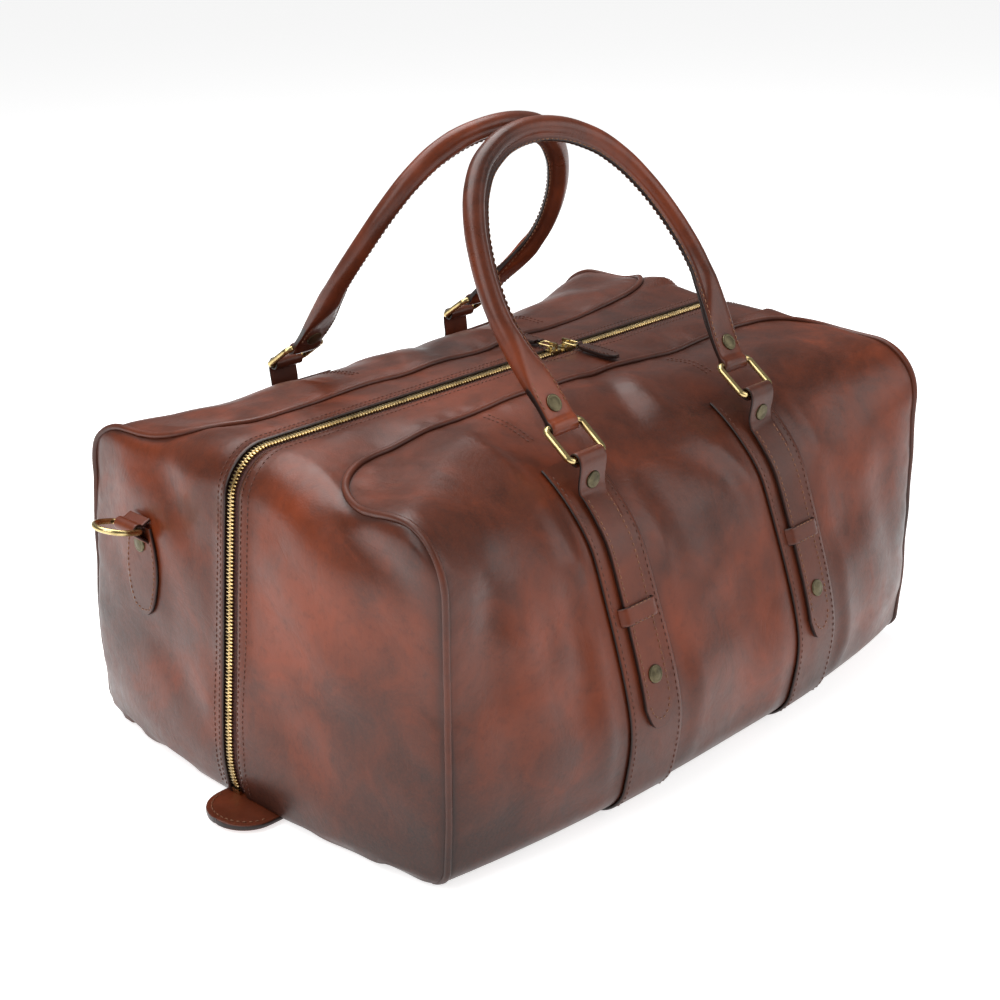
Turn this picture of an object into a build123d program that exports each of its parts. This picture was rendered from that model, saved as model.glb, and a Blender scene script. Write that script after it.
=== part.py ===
"""Leather weekender bag: piped front and back panels, a zipped gusset, base straps and two rolled handles.

Millimetres. +X runs along the bag's length, -Y is the front, +Z is up. The origin is the centre of the
footprint, on the surface that the bag stands on. The bag looks the same after half a turn about Z, apart
from its two zip sliders.
"""
from build123d import *
import math
import os

# ---- driving dimensions ----------------------------------------------------------------------------------
HALF_LENGTH = 250.0        # centre to the piped edge of the front and back panels
END_CROWN = 22.0           # how far each end bulges past that edge
TOP_HEIGHT = 243.0         # top of the closed bag
STRAP_THICKNESS = 2.5      # the base straps, which carry the bag
LEATHER = 2.5
LINING = 0.8
LAYER_GAP = 0.3            # left between neighbouring layers
ZIP_OPENING = 6.0          # half the gap between the two gusset halves
PANEL_EDGE = 52.0          # half the width of the top gusset
PANEL_CORNER = 70.0        # rounding of the panels' top corners, seen from above
PIPING = 4.2
BOTTOM_HALF_DEPTH = 150.0  # where the bottom panel meets the front and back panels
BOTTOM_TURN_UP = 12.0

STRAP_X = 90.0             # centre of each strap from the middle of the bag
BASE_STRAP_WIDTH = 48.0
BASE_STRAP_TOP = 214.0
STRAP_WIDTH = 25.0
STRAP_LAYER = 3.4
STRAP_TIP_Z = 66.0
KEEPER_Z = 139.0
KEEPER_HEIGHT = 11.0
KEEPER_THICKNESS = 2.0
KEEPER_SIDE = 3.0          # how far the keeper reaches past each edge of the strap
KEEPER_PLAY = 0.4
LOWER_RIVET_Z = 100.0
UPPER_RIVET_Z = 216.0
SHOULDER_Z = 230.0         # height of the surface under the rings' lower bars

RING_WIRE = 4.5
RING_WIDTH = 33.0          # between the centres of the side bars
RING_HEIGHT = 27.0         # between the centres of the upper and lower bars
RING_CORNER = 3.9
RING_SLOPE = 36.0          # degrees above level, lying on the shoulder
RING_CLEARANCE = 0.35

HANDLE_LEAN = 34.5         # degrees from upright, towards the middle
HANDLE_TUBE = 16.0
TAB_WIDTH = 25.0
HANDLE_CORE = 10.6
# The tube's line from the ring bar up to the middle of the grip, in the handle's own plane.
HANDLE_HALF = [(-100, 48), (-105, 88), (-95, 136), (-60, 181), (0, 198)]
# Sections of each end tab: lean outwards, distance up from the bar, width, thickness, corner.
TAB_SECTIONS = [(0, 3.5, TAB_WIDTH, 5.2, 2.0), (4, 30, TAB_WIDTH, 7.0, 2.6), (11, 58, 15, 15, 7.0)]
TAB_RIVET_LEAN = 2.0
TAB_RIVET_UP = 20.0
TAB_RIVET_LIFT = 3.6
TAB_RIVET_LENGTH = 8.0

RIVET_CAP = 12.0
RIVET_CAP_HEIGHT = 1.6
RIVET_SHANK = 3.6

CHAIN_WIDTH = 6.0
CHAIN_THICKNESS = 2.2
SLIDER_X = 47.0            # where the two sliders meet
D_RING_Y = 94.0
D_RING_Z = 172.0

# Corners of the half section from the bottom outwards and up: distance from the middle, height, rounding.
HALF_SECTION = [(203, 2.5, 24), (213, 50, 60), (201, 102, 120), (140, 240, 50), (60, 243, 0)]
# Corners of the side outline's right end from the bottom up, as (distance from the middle, height, rounding).
HALF_SIDE = [(264, -12, 0), (275, 34, 50), (262, 192, 120), (257, 245, 26), (150, 249, 0)]
END_HALF_DEPTH = 180.0
MID_HALF_DEPTH = 214.0


# ---- the bag's outer form --------------------------------------------------------------------------------
def rounded_outline(corners):
    """Face through corners given as (u, v, rounding)."""
    with BuildSketch() as outline:
        with BuildLine():
            Polyline(*[(u, v) for u, v, _ in corners], close=True)
        make_face()
        for u, v, rounding in corners:
            if rounding:
                fillet(outline.vertices().sort_by_distance((u, v, 0))[0], rounding)
    return outline.sketch


def section_face(grow=0.0):
    """The bag's section across its length, grown outwards by grow."""
    corners = HALF_SECTION + [(-y, z, r) for y, z, r in reversed(HALF_SECTION)]
    face = rounded_outline(corners)
    return offset(face, amount=grow) if grow else face


def section_prism(grow):
    return extrude(Plane.YZ * section_face(grow), 300, both=True)


def crowned_plan(grow):
    """Prism that gives the ends and the front and back their crown, seen from above."""
    reach, depth = HALF_LENGTH + grow, END_HALF_DEPTH + grow
    end, middle = HALF_LENGTH + END_CROWN + grow, MID_HALF_DEPTH + grow
    with BuildSketch() as plan:
        with BuildLine():
            ThreePointArc((-reach, -depth), (0, -middle), (reach, -depth))
            ThreePointArc((reach, -depth), (end, 0), (reach, depth))
            ThreePointArc((reach, depth), (0, middle), (-reach, depth))
            ThreePointArc((-reach, depth), (-end, 0), (-reach, -depth))
        make_face()
    return extrude(plan.sketch.moved(Location((0, 0, -20))), 300)


def crowned_side(grow):
    """Prism that rounds the ends over at the top, seen from the front."""
    outline = [(x + grow, z, r) for x, z, r in HALF_SIDE]
    corners = outline + [(-x, z, r) for x, z, r in reversed(outline)]
    return extrude(Plane.XZ * rounded_outline(corners), 300, both=True)


_bodies = {}


def body(grow=0.0):
    """The bag's outer form, grown outwards by grow everywhere."""
    if grow not in _bodies:
        _bodies[grow] = section_prism(grow) & crowned_plan(grow) & crowned_side(grow)
    return _bodies[grow]


def layer(outer, inner):
    """Everything between two grown forms: a skin of even thickness."""
    return body(outer) - body(inner)


def block(x0, x1, y0, y1, z0, z1):
    return Pos((x0 + x1) / 2, (y0 + y1) / 2, (z0 + z1) / 2) * Box(x1 - x0, y1 - y0, z1 - z0)


def panel_plan(side, grow=0.0):
    """Prism over the front (side -1) or back (side 1) panel, seen from above, with rounded top corners."""
    edge, reach = PANEL_EDGE - grow, HALF_LENGTH + grow
    depth = 300.0
    centre = side * (edge + depth / 2)
    with BuildSketch() as plan:
        with Locations((0, centre)):
            Rectangle(2 * reach, depth)
        inner = [v for v in plan.vertices() if abs(v.Y) < edge + 1]
        fillet(inner, PANEL_CORNER + grow)
    return extrude(plan.sketch.moved(Location((0, 0, -20))), 300)


def half_turn(shape):
    """The same piece on the opposite corner of the bag."""
    return shape.rotate(Axis.Z, 180)


# ---- shell -----------------------------------------------------------------------------------------------
def shell_pieces():
    half_bead = PIPING / 2
    skin = layer(0, -LEATHER)
    underside = block(-300, 300, -BOTTOM_HALF_DEPTH, BOTTOM_HALF_DEPTH, -5, BOTTOM_TURN_UP)
    front_plan = panel_plan(-1, -half_bead)
    back_plan = panel_plan(1, -half_bead)
    front_bead = panel_plan(-1, half_bead) - front_plan
    back_bead = panel_plan(1, half_bead) - back_plan
    zip_slot = block(-300, 300, -ZIP_OPENING, ZIP_OPENING, BOTTOM_TURN_UP, 300)
    gusset = skin - panel_plan(-1, half_bead) - panel_plan(1, half_bead) - underside - zip_slot
    bead_skin = layer(half_bead, -half_bead)
    return {
        "front_panel": (skin & front_plan) - underside,
        "back_panel": (skin & back_plan) - underside,
        "bottom_panel": skin & underside,
        "gusset_front": gusset & block(-300, 300, -300, 0, -5, 300),
        "gusset_back": gusset & block(-300, 300, 0, 300, -5, 300),
        "piping_front": (bead_skin & front_bead) - underside - block(-300, 300, -300, 300, -5, 5),
        "piping_back": (bead_skin & back_bead) - underside - block(-300, 300, -300, 300, -5, 5),
    }


def inside_pieces():
    tape_outer = -LEATHER - LAYER_GAP
    tape_inner = tape_outer - 0.7
    lining_outer = tape_inner - LAYER_GAP
    tape = layer(tape_outer, tape_inner)
    chain = layer(tape_outer + LAYER_GAP / 2 + CHAIN_THICKNESS, tape_outer + LAYER_GAP / 2)
    half_chain = CHAIN_WIDTH / 2
    low, high = BOTTOM_TURN_UP + 8, 300
    lining = layer(lining_outer, lining_outer - LINING)
    lining -= block(-300, 300, -ZIP_OPENING, ZIP_OPENING, BOTTOM_TURN_UP, 300)
    board_z = HALF_SECTION[0][1] + LEATHER + 2 * LAYER_GAP + 0.7 + LAYER_GAP + LINING
    board = Pos(0, 0, board_z + 1.2) * extrude(RectangleRounded(480, 286, 20), 2.4)
    return {
        "zip_tape_front": tape & block(-300, 300, -16, -0.4, low - 6, high),
        "zip_tape_back": tape & block(-300, 300, 0.4, 16, low - 6, high),
        "zip_teeth_front": chain & block(-300, 300, -half_chain, -0.1, low, high),
        "zip_teeth_back": chain & block(-300, 300, 0.1, half_chain, low, high),
        "zip_end_stops": zip_stops(),
        "lining": lining,
        "base_board": board,
    }


def zip_stops():
    """The two metal stops at the lower ends of the zip."""
    stop = block(-263.2, -261.6 + 3.0, -3.6, 3.6, BOTTOM_TURN_UP + 2, BOTTOM_TURN_UP + 7)
    stop = stop & body(-LEATHER + 2.0)
    return Compound([stop.solid(), half_turn(stop).solid()])


def end_tab():
    """Half-round leather tab sewn under the left end of the zip."""
    with BuildSketch() as plan:
        with Locations((-262, -14)):
            Rectangle(40, 54)
        outer = [v for v in plan.vertices() if v.X < -280]
        fillet(outer, 14)
    tab = extrude(plan.sketch.moved(Location((0, 0, 3.2))), 4.0)
    return tab.moved(Location((-15, 0, 0))) - body(LAYER_GAP)


# ---- straps and rings ------------------------------------------------------------------------------------
def surface_point(z, grow):
    """Point of the front face at height z on the strap line, and the outward normal there."""
    outline = (Plane.YZ * section_face(grow)).face().outer_wire()
    level = Edge.make_line(Vector(0, -300, z), Vector(0, -20, z))
    at = (outline & level).vertices().sort_by(Axis.Y)[0]
    at = Vector(at.X, at.Y, at.Z)
    tangent = outline.tangent_at(outline.param_at_point(at))
    normal = Vector(0, -tangent.Z, tangent.Y)
    return at, normal if normal.Y < 0 else normal * -1


STRAP_OUTSIDE = STRAP_THICKNESS + LAYER_GAP / 2 + STRAP_LAYER
EYE_OUTER = RING_WIRE / 2 + RING_CLEARANCE + 2.4
_shoulder, _shoulder_normal = surface_point(SHOULDER_Z, STRAP_THICKNESS)
LOWER_BAR = _shoulder + _shoulder_normal * (EYE_OUTER + LAYER_GAP)
UPPER_BAR = LOWER_BAR + Vector(0, math.cos(math.radians(RING_SLOPE)),
                               math.sin(math.radians(RING_SLOPE))) * RING_HEIGHT


def across(radius, width, at):
    """Cylinder along X, centred on the strap line."""
    return Pos(at.X, at.Y, at.Z) * Rot(0, 90, 0) * Cylinder(radius, width)


def rivet(at, normal, x, depth):
    """Capped rivet whose shank goes depth into the leather."""
    plane = Plane(origin=Vector(x, at.Y, at.Z), x_dir=(1, 0, 0), z_dir=normal)
    cap = extrude(Circle(RIVET_CAP / 2), RIVET_CAP_HEIGHT)
    cap = fillet(cap.edges().sort_by(Axis.Z)[-1], 0.7)
    shank = Pos(0, 0, -depth / 2) * Cylinder(RIVET_SHANK / 2, depth)
    return plane.location * (cap + shank)


def strap_rivets_at(x):
    depth = STRAP_OUTSIDE + LEATHER - 0.5
    found = []
    for z in (UPPER_RIVET_Z, LOWER_RIVET_Z):
        at, normal = surface_point(z, STRAP_OUTSIDE)
        found.append(rivet(at, normal, x, depth))
    return found


def base_strap(x):
    """Wide strap from under the front ring, round the bottom, to under the back ring."""
    half = BASE_STRAP_WIDTH / 2
    return layer(STRAP_THICKNESS, LAYER_GAP / 10) & block(x - half, x + half, -300, 300, -5, BASE_STRAP_TOP)


def front_strap(x):
    """Narrow strap from the ring down to its pointed tip, with the eye that holds the ring's lower bar."""
    half = STRAP_WIDTH / 2
    run = layer(STRAP_OUTSIDE, STRAP_THICKNESS + LAYER_GAP / 2)
    run &= block(x - half, x + half, -300, 0, STRAP_TIP_Z, 222)
    run -= Plane.XZ * make_tip(x, half)
    at = Vector(x, LOWER_BAR.Y, LOWER_BAR.Z)
    top, normal = surface_point(221.5, STRAP_THICKNESS + LAYER_GAP / 2)
    top_out = top + normal * STRAP_LAYER
    with BuildSketch(Plane.YZ) as neck_plan:
        with BuildLine():
            Polyline((top.Y, top.Z), (top_out.Y, top_out.Z),
                     (LOWER_BAR.Y - EYE_OUTER * 0.94, LOWER_BAR.Z - EYE_OUTER * 0.3),
                     (LOWER_BAR.Y, LOWER_BAR.Z),
                     (LOWER_BAR.Y + EYE_OUTER * 0.3, LOWER_BAR.Z - EYE_OUTER * 0.94), close=True)
        make_face()
    neck = extrude(neck_plan.sketch, half, both=True).moved(Location((x, 0, 0)))
    neck -= body(STRAP_THICKNESS + LAYER_GAP / 2)
    strap = run + neck + across(EYE_OUTER, STRAP_WIDTH, at)
    return strap - across(RING_WIRE / 2 + RING_CLEARANCE, STRAP_WIDTH + 2, at)


def make_tip(x, half):
    """What is cut off the strap's lower corners to leave a rounded point."""
    with BuildSketch() as corners:
        with BuildLine():
            Polyline((x - half - 1, STRAP_TIP_Z - 1), (x, STRAP_TIP_Z - 1), (x - 4, STRAP_TIP_Z + 1.5),
                     (x - half - 1, STRAP_TIP_Z + 17), close=True)
        make_face()
    one = extrude(corners.sketch, 300)
    return one + one.mirror(Plane.YZ.offset(x))


def keeper(x):
    """Band that the narrow strap passes under."""
    half = STRAP_WIDTH / 2
    outer = layer(STRAP_OUTSIDE + KEEPER_THICKNESS, STRAP_THICKNESS + LAYER_GAP / 2)
    low, high = KEEPER_Z - KEEPER_HEIGHT / 2, KEEPER_Z + KEEPER_HEIGHT / 2
    reach = half + KEEPER_SIDE
    band = outer & block(x - reach, x + reach, -300, 0, low, high)
    free = half + KEEPER_PLAY
    inside = body(STRAP_OUTSIDE + LAYER_GAP) & block(x - free, x + free, -300, 0, low - 5, high + 5)
    return band - inside


def handle_ring(x):
    """Rounded rectangular ring of round wire, lying on the shoulder."""
    slope = math.radians(RING_SLOPE)
    centre = (LOWER_BAR + UPPER_BAR) * 0.5
    plane = Plane(origin=Vector(x, centre.Y, centre.Z), x_dir=(1, 0, 0),
                  z_dir=(0, -math.sin(slope), math.cos(slope)))
    outline = RectangleRounded(RING_WIDTH, RING_HEIGHT, RING_CORNER).face().outer_wire()
    start = Plane(origin=outline @ 0, z_dir=outline % 0)
    wire = sweep(start * Circle(RING_WIRE / 2), path=outline)
    return plane.location * wire


# ---- handles ---------------------------------------------------------------------------------------------
HANDLE_PLANE = Plane(origin=Vector(0, UPPER_BAR.Y, UPPER_BAR.Z), x_dir=(1, 0, 0),
                     z_dir=(0, -math.cos(math.radians(HANDLE_LEAN)), math.sin(math.radians(HANDLE_LEAN))))


def handle_line():
    """The tube's line in the handle's own plane: straight runs joined by the largest tangent arcs."""
    points = HANDLE_HALF + [(-x, s) for x, s in reversed(HANDLE_HALF[:-1])]
    vectors = [Vector(x, s, 0) for x, s in points]
    radii = []
    for before, here, after in zip(vectors, vectors[1:], vectors[2:]):
        run = min((here - before).length, (after - here).length)
        turn = math.radians((here - before).get_angle(after - here))
        radii.append(0.45 * run / math.tan(turn / 2))
    return FilletPolyline(*vectors, radius=radii)


def tube(line, radius):
    start = Plane(origin=line @ 0, z_dir=line % 0)
    return sweep(start * Circle(radius), path=line)


def handle_pieces(line):
    """Front handle: stitched leather tube with a tab folded round each ring, its core and its rivets."""
    core = tube(line, HANDLE_CORE / 2)
    leather = tube(line, HANDLE_TUBE / 2)
    rivets = []
    for side in (-1, 1):
        x = side * STRAP_X
        blade = loft([
            Plane(origin=(x + side * lean, up, 0), x_dir=(1, 0, 0), z_dir=(0, 1, 0))
            * RectangleRounded(width, thick, corner)
            for lean, up, width, thick, corner in TAB_SECTIONS
        ])
        eye = Pos(x, 0, 0) * Rot(0, 90, 0) * Cylinder(EYE_OUTER, TAB_WIDTH)
        bore = Pos(x, 0, 0) * Rot(0, 90, 0) * Cylinder(RING_WIRE / 2 + RING_CLEARANCE, TAB_WIDTH + 2)
        leather = leather + blade + eye - bore
        middle = x + side * TAB_RIVET_LEAN
        cap = Pos(middle, TAB_RIVET_UP, TAB_RIVET_LIFT) * Cylinder(RIVET_CAP / 2, RIVET_CAP_HEIGHT)
        shank = Pos(middle, TAB_RIVET_UP, 0) * Cylinder(RIVET_SHANK / 2, TAB_RIVET_LENGTH)
        rivets.append(cap + shank)
    leather -= tube(line, HANDLE_CORE / 2 + 0.1)
    for one in rivets:
        leather -= one
    place = HANDLE_PLANE.location
    return place * leather, place * core, [place * one for one in rivets]


# ---- zip sliders and pulls -------------------------------------------------------------------------------
CHAIN_TOP = TOP_HEIGHT - LEATHER - LAYER_GAP / 2 + CHAIN_THICKNESS
BRIDGE_Z = CHAIN_TOP + 4.6
PULL_Z = BRIDGE_Z - 0.3
PULL_RING_WIDTH = 7.6
PULL_RING_LENGTH = 13.0
PULL_RING_CORNER = 2.6
PULL_RING_WIRE = 1.6
PULL_RING_OVERLAP = 0.6    # how far the ring reaches past the bridge's middle
PULL_THICKNESS = 2.6
# Outline of half a pull from its loop to its pointed end, as (half width, distance along).
PULL_HALF = [(2.4, 13.4), (6.6, 20), (6, 44), (2.5, 49)]
PULL_EYE = 2.5
PULL_BORE = 1.4
SLIDER_LENGTH = 11.0
SLIDER_WIDTH = 8.6
SLIDER_PLATE = 1.2
CHEEK_LENGTH = 8.0
CHEEK_DROP = 1.6
BRIDGE_LENGTH = 2.0
BRIDGE_WIDTH = 6.8
BRIDGE_OPENING = 4.4


def slider(x):
    """Slider body riding over the chain, with the bridge that holds its pull ring."""
    low = CHAIN_TOP + LAYER_GAP
    plate = Pos(x, 0, low) * extrude(RectangleRounded(SLIDER_LENGTH, SLIDER_WIDTH, 2.5), SLIDER_PLATE)
    middle = low + SLIDER_PLATE / 2
    half = CHEEK_LENGTH / 2
    cheeks = [block(x - half, x + half, s * 3.75 - 0.45, s * 3.75 + 0.45, CHAIN_TOP - CHEEK_DROP, low + 0.5)
              for s in (-1, 1)]
    half = BRIDGE_LENGTH / 2
    bridge = block(x - half, x + half, -BRIDGE_WIDTH / 2, BRIDGE_WIDTH / 2, middle, BRIDGE_Z + 1.9)
    bridge -= block(x - 2 * half, x + 2 * half, -BRIDGE_OPENING / 2, BRIDGE_OPENING / 2,
                    middle + 0.7, BRIDGE_Z + 0.9)
    return plate + cheeks[0] + cheeks[1] + bridge


def pull_ring(x, side):
    """Oval ring through the slider's bridge, lying towards the front (side -1) or the back (side 1)."""
    outline = RectangleRounded(PULL_RING_WIDTH, PULL_RING_LENGTH, PULL_RING_CORNER).face().outer_wire()
    start = Plane(origin=outline @ 0, z_dir=outline % 0)
    wire = sweep(start * Circle(PULL_RING_WIRE / 2), path=outline)
    return wire.moved(Location((x, side * (PULL_RING_LENGTH / 2 - PULL_RING_OVERLAP), PULL_Z)))


def pull_tab(x, side):
    """Pointed leather pull looped on its ring."""
    with BuildSketch() as plan:
        with BuildLine():
            Polyline(*PULL_HALF, *[(-half, along) for half, along in reversed(PULL_HALF)], close=True)
        make_face()
    tab = extrude(plan.sketch, PULL_THICKNESS).moved(Location((0, 0, -PULL_THICKNESS / 2)))
    eye = Pos(0, PULL_RING_LENGTH - PULL_RING_OVERLAP, 0) * Rot(0, 90, 0)
    tab = tab + eye * Cylinder(PULL_EYE, 2 * PULL_HALF[0][0]) - eye * Cylinder(PULL_BORE, 9)
    tab = tab.moved(Location((0, 0, PULL_Z)))
    if side < 0:
        tab = tab.rotate(Axis.Z, 180)
    return tab.moved(Location((x, 0, 0)))


# ---- D-rings ---------------------------------------------------------------------------------------------
D_RING_X = -(HALF_LENGTH + 16.0 + 6.5)
D_RING_HALF = 14.5
D_RING_CORNER = 4.0
D_RING_SIDE = 9.5          # where its straight sides meet the bow
D_RING_BOW = 24.0
D_RING_WIRE = 4.0
D_RING_DROOP = 14.0        # degrees
LOOP_RADIUS = 4.7
LOOP_HALF = 11.0
# Outline of half a patch below the loop, as (half width, drop below the D-ring's bar).
PATCH_HALF = [(11, -2), (15, 24), (8, 58)]
PATCH_END = 66.0
PATCH_THICKNESS = 2.4


def d_ring():
    """D-shaped ring on the left end, standing out from its leather loop."""
    half, corner = D_RING_HALF, D_RING_CORNER
    with BuildSketch() as plan:
        with BuildLine():
            straight = Line((0, corner - half), (0, half - corner))
            RadiusArc(straight @ 1, (-corner, half), -corner)
            Line((-corner, half), (-D_RING_SIDE, half))
            ThreePointArc((-D_RING_SIDE, half), (-D_RING_BOW, 0), (-D_RING_SIDE, -half))
            Line((-D_RING_SIDE, -half), (-corner, -half))
            RadiusArc((-corner, -half), straight @ 0, -corner)
        make_face()
    outline = plan.sketch.face().outer_wire()
    start = Plane(origin=outline @ 0, z_dir=outline % 0)
    wire = sweep(start * Circle(D_RING_WIRE / 2), path=outline)
    return wire.rotate(Axis.Y, D_RING_DROOP).moved(Location((D_RING_X, D_RING_Y, D_RING_Z)))


def d_ring_patch():
    """Teardrop patch sewn on the end, its top folded into the loop that holds the D-ring."""
    right = [(D_RING_Y + half, D_RING_Z - drop) for half, drop in PATCH_HALF]
    left = [(D_RING_Y - half, D_RING_Z - drop) for half, drop in reversed(PATCH_HALF)]
    with BuildSketch(Plane.YZ) as plan:
        with BuildLine():
            Polyline(*right, (D_RING_Y, D_RING_Z - PATCH_END), *left, close=True)
        make_face()
        fillet(plan.vertices().filter_by(lambda v: v.Z < D_RING_Z - 20), 6)
    column = extrude(plan.sketch, -300)
    patch = (body(PATCH_THICKNESS) - body(LAYER_GAP / 3)) & column
    at = Pos(D_RING_X, D_RING_Y, D_RING_Z) * Rot(90, 0, 0)
    web = block(D_RING_X, -250, D_RING_Y - LOOP_HALF, D_RING_Y + LOOP_HALF, D_RING_Z - 4.6, D_RING_Z - 1)
    loop = at * Cylinder(LOOP_RADIUS, 2 * LOOP_HALF) + (web - body(LAYER_GAP / 3))
    return patch + loop - at * Cylinder(D_RING_WIRE / 2 + RING_CLEARANCE, 2 * LOOP_HALF + 4)


# ---- write every piece -----------------------------------------------------------------------------------
def write(name, shape):
    solids = shape.solids() if hasattr(shape, "solids") else shape
    shape = Compound(list(solids)) if len(solids) > 1 else solids[0]
    shape.label = name
    export_step(shape, f"parts/{name}.step")


def main():
    os.makedirs("parts", exist_ok=True)
    pieces = {}
    pieces.update(shell_pieces())
    pieces.update(inside_pieces())
    tab = end_tab()
    pieces["end_tab_left"] = tab
    pieces["end_tab_right"] = half_turn(tab)
    rivets = []
    for label, x in (("left", -STRAP_X), ("right", STRAP_X)):
        here = strap_rivets_at(x)
        strap = front_strap(x)
        base = base_strap(x)
        for one in here:
            strap -= one
            base = base - one - half_turn(strap_rivets_at(-x)[here.index(one)])
            for panel in ("front_panel", "back_panel"):
                pieces[panel] = pieces[panel] - one - half_turn(one)
        other = "right" if label == "left" else "left"
        pieces[f"base_strap_{label}"] = base
        pieces[f"front_strap_{label}"] = strap
        pieces[f"back_strap_{other}"] = half_turn(strap)
        band = keeper(x)
        pieces[f"front_keeper_{label}"] = band
        pieces[f"back_keeper_{other}"] = half_turn(band)
        ring = handle_ring(x)
        pieces[f"front_ring_{label}"] = ring
        pieces[f"back_ring_{other}"] = half_turn(ring)
        rivets += here + [half_turn(one) for one in here]
    pieces["strap_rivets"] = Compound([r.solid() for r in rivets])
    leather, core, handle_rivets = handle_pieces(handle_line())
    pieces["front_handle"] = leather
    pieces["front_handle_core"] = core
    pieces["front_handle_rivets"] = Compound([r.solid() for r in handle_rivets])
    for name in ("handle", "handle_core", "handle_rivets"):
        pieces[f"back_{name}"] = half_turn(pieces[f"front_{name}"])
    for label, x, side in (("left", SLIDER_X - 7, 1), ("right", SLIDER_X + 7, -1)):
        pieces[f"slider_{label}"] = slider(x)
        pieces[f"pull_ring_{label}"] = pull_ring(x, side)
        pieces[f"pull_tab_{label}"] = pull_tab(x, side)
    d, patch = d_ring(), d_ring_patch()
    pieces["d_ring_left"], pieces["d_ring_right"] = d, half_turn(d)
    pieces["d_ring_patch_left"], pieces["d_ring_patch_right"] = patch, half_turn(patch)
    for name, shape in pieces.items():
        write(name, shape)
    print(len(pieces), "pieces written")


main()
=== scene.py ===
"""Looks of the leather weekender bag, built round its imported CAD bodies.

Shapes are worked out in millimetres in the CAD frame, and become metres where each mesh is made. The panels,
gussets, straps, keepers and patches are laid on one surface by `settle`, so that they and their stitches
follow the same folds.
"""

import math

import bpy
import numpy as np
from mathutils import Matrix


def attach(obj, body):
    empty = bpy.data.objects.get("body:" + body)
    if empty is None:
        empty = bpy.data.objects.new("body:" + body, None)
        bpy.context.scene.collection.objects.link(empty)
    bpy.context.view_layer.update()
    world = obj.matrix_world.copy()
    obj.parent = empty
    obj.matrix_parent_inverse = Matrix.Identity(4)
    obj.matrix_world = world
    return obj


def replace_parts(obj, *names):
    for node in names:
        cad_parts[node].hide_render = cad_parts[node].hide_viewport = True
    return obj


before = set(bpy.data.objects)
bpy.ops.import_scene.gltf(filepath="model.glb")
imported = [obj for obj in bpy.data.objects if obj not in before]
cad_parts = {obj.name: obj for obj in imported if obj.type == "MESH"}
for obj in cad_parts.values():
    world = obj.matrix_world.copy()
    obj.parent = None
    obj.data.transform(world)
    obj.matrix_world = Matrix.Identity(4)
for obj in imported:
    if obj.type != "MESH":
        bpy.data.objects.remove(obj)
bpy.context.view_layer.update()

MM = 0.001
REACH = 248.5          # half length between the pipings
CORNER = 70.0          # rounding of the panels' top corners, seen from above
ZIP_EDGE = {-1: 7.0, 1: 3.9}   # from the zip's middle to the gusset's edge: the back half laps over
PIPING_RADIUS = 2.3
STRAP_X = 90.0
STRAP_TIP = 66.0       # lowest point of the narrow straps
STRAP_TOP = 206.0      # where they leave the face for the ring
STRAP_HALF = 12.5
KEEPER_Z = 139.0
CAP_RADIUS = 6.0
LOWER_BAR = (145.85, 233.92)   # rings' lower bars, as (distance from the middle, height)
UPPER_BAR = (124.0, 249.79)
HANDLE_LEAN = math.radians(34.5)
PULL_Z = 246.85
PULL_BAR = 12.4        # from the zip's middle to the pull ring's far bar
D_RING = (-272.5, 94.0, 172.0)


# ---- the bag's surface -----------------------------------------------------------------------------------
def smooth(a, b, v):
    t = np.clip((v - a) / (b - a), 0, 1)
    return t * t * (3 - 2 * t)


def seam_edge(x, back):
    """How far the top seam is from the middle: the back one lies nearer on the slumped left."""
    return np.where(back, 40.0 + 12.0 * smooth(-20, 150, x), 52.0)


def bell(v, width, power=2):
    return np.exp(-(v / width) ** power)


def unit(v):
    return v / np.linalg.norm(v, axis=-1, keepdims=True)


def grid_of(x, y, z):
    """Points whose coordinates are spread over one another."""
    return np.stack(np.broadcast_arrays(x, y, z), -1)


def curve_table(points, blur):
    """Smooth function through (position, value) pairs."""
    points = np.array(points, float)
    at = np.arange(points[0, 0], points[-1, 0] + 1, 1.0)
    reach = np.arange(-3 * blur, 3 * blur + 1)
    kernel = np.exp(-0.5 * (reach / blur) ** 2)
    value = np.pad(np.interp(at, points[:, 0], points[:, 1]), 3 * blur, mode="reflect", reflect_type="odd")
    table = np.convolve(value, kernel / kernel.sum(), "valid")
    return lambda v: np.interp(v, at, table)


middle_depth = curve_table([(-40, 190), (2, 199), (18, 203), (54, 209.5), (72, 210), (100, 202), (139, 187),
                            (181, 169.5), (207, 152), (223, 142.5), (245, 122), (300, 70)], 10)
end_crown = curve_table([(-40, 12), (1, 16), (15, 21), (34, 24.5), (63, 23), (104, 19.5), (149, 16),
                         (192, 12.5), (230, 9), (300, 2)], 8)


def rounded(a, b, r):
    """Where two surfaces, given as distances, both hold, with a rounding of radius r between them."""
    return np.hypot(np.maximum(a + r, 0), np.maximum(b + r, 0)) - r + np.minimum(np.maximum(a, b) + r, 0)


def side_depth(p):
    """How far the front or the back stands from the middle; the back's left end has slumped inwards."""
    x, y, z = p[:, 0], p[:, 1], p[:, 2]
    share = np.clip(np.abs(x) / 250, 0, 1.1) ** 2.6
    slumped = smooth(-60, -235, x) * (y > 0)
    depth = middle_depth(z) * (1 - share) + (180 - 3 * smooth(60, 0, z)) * share - 11 * slumped
    return depth, share, slumped


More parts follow.
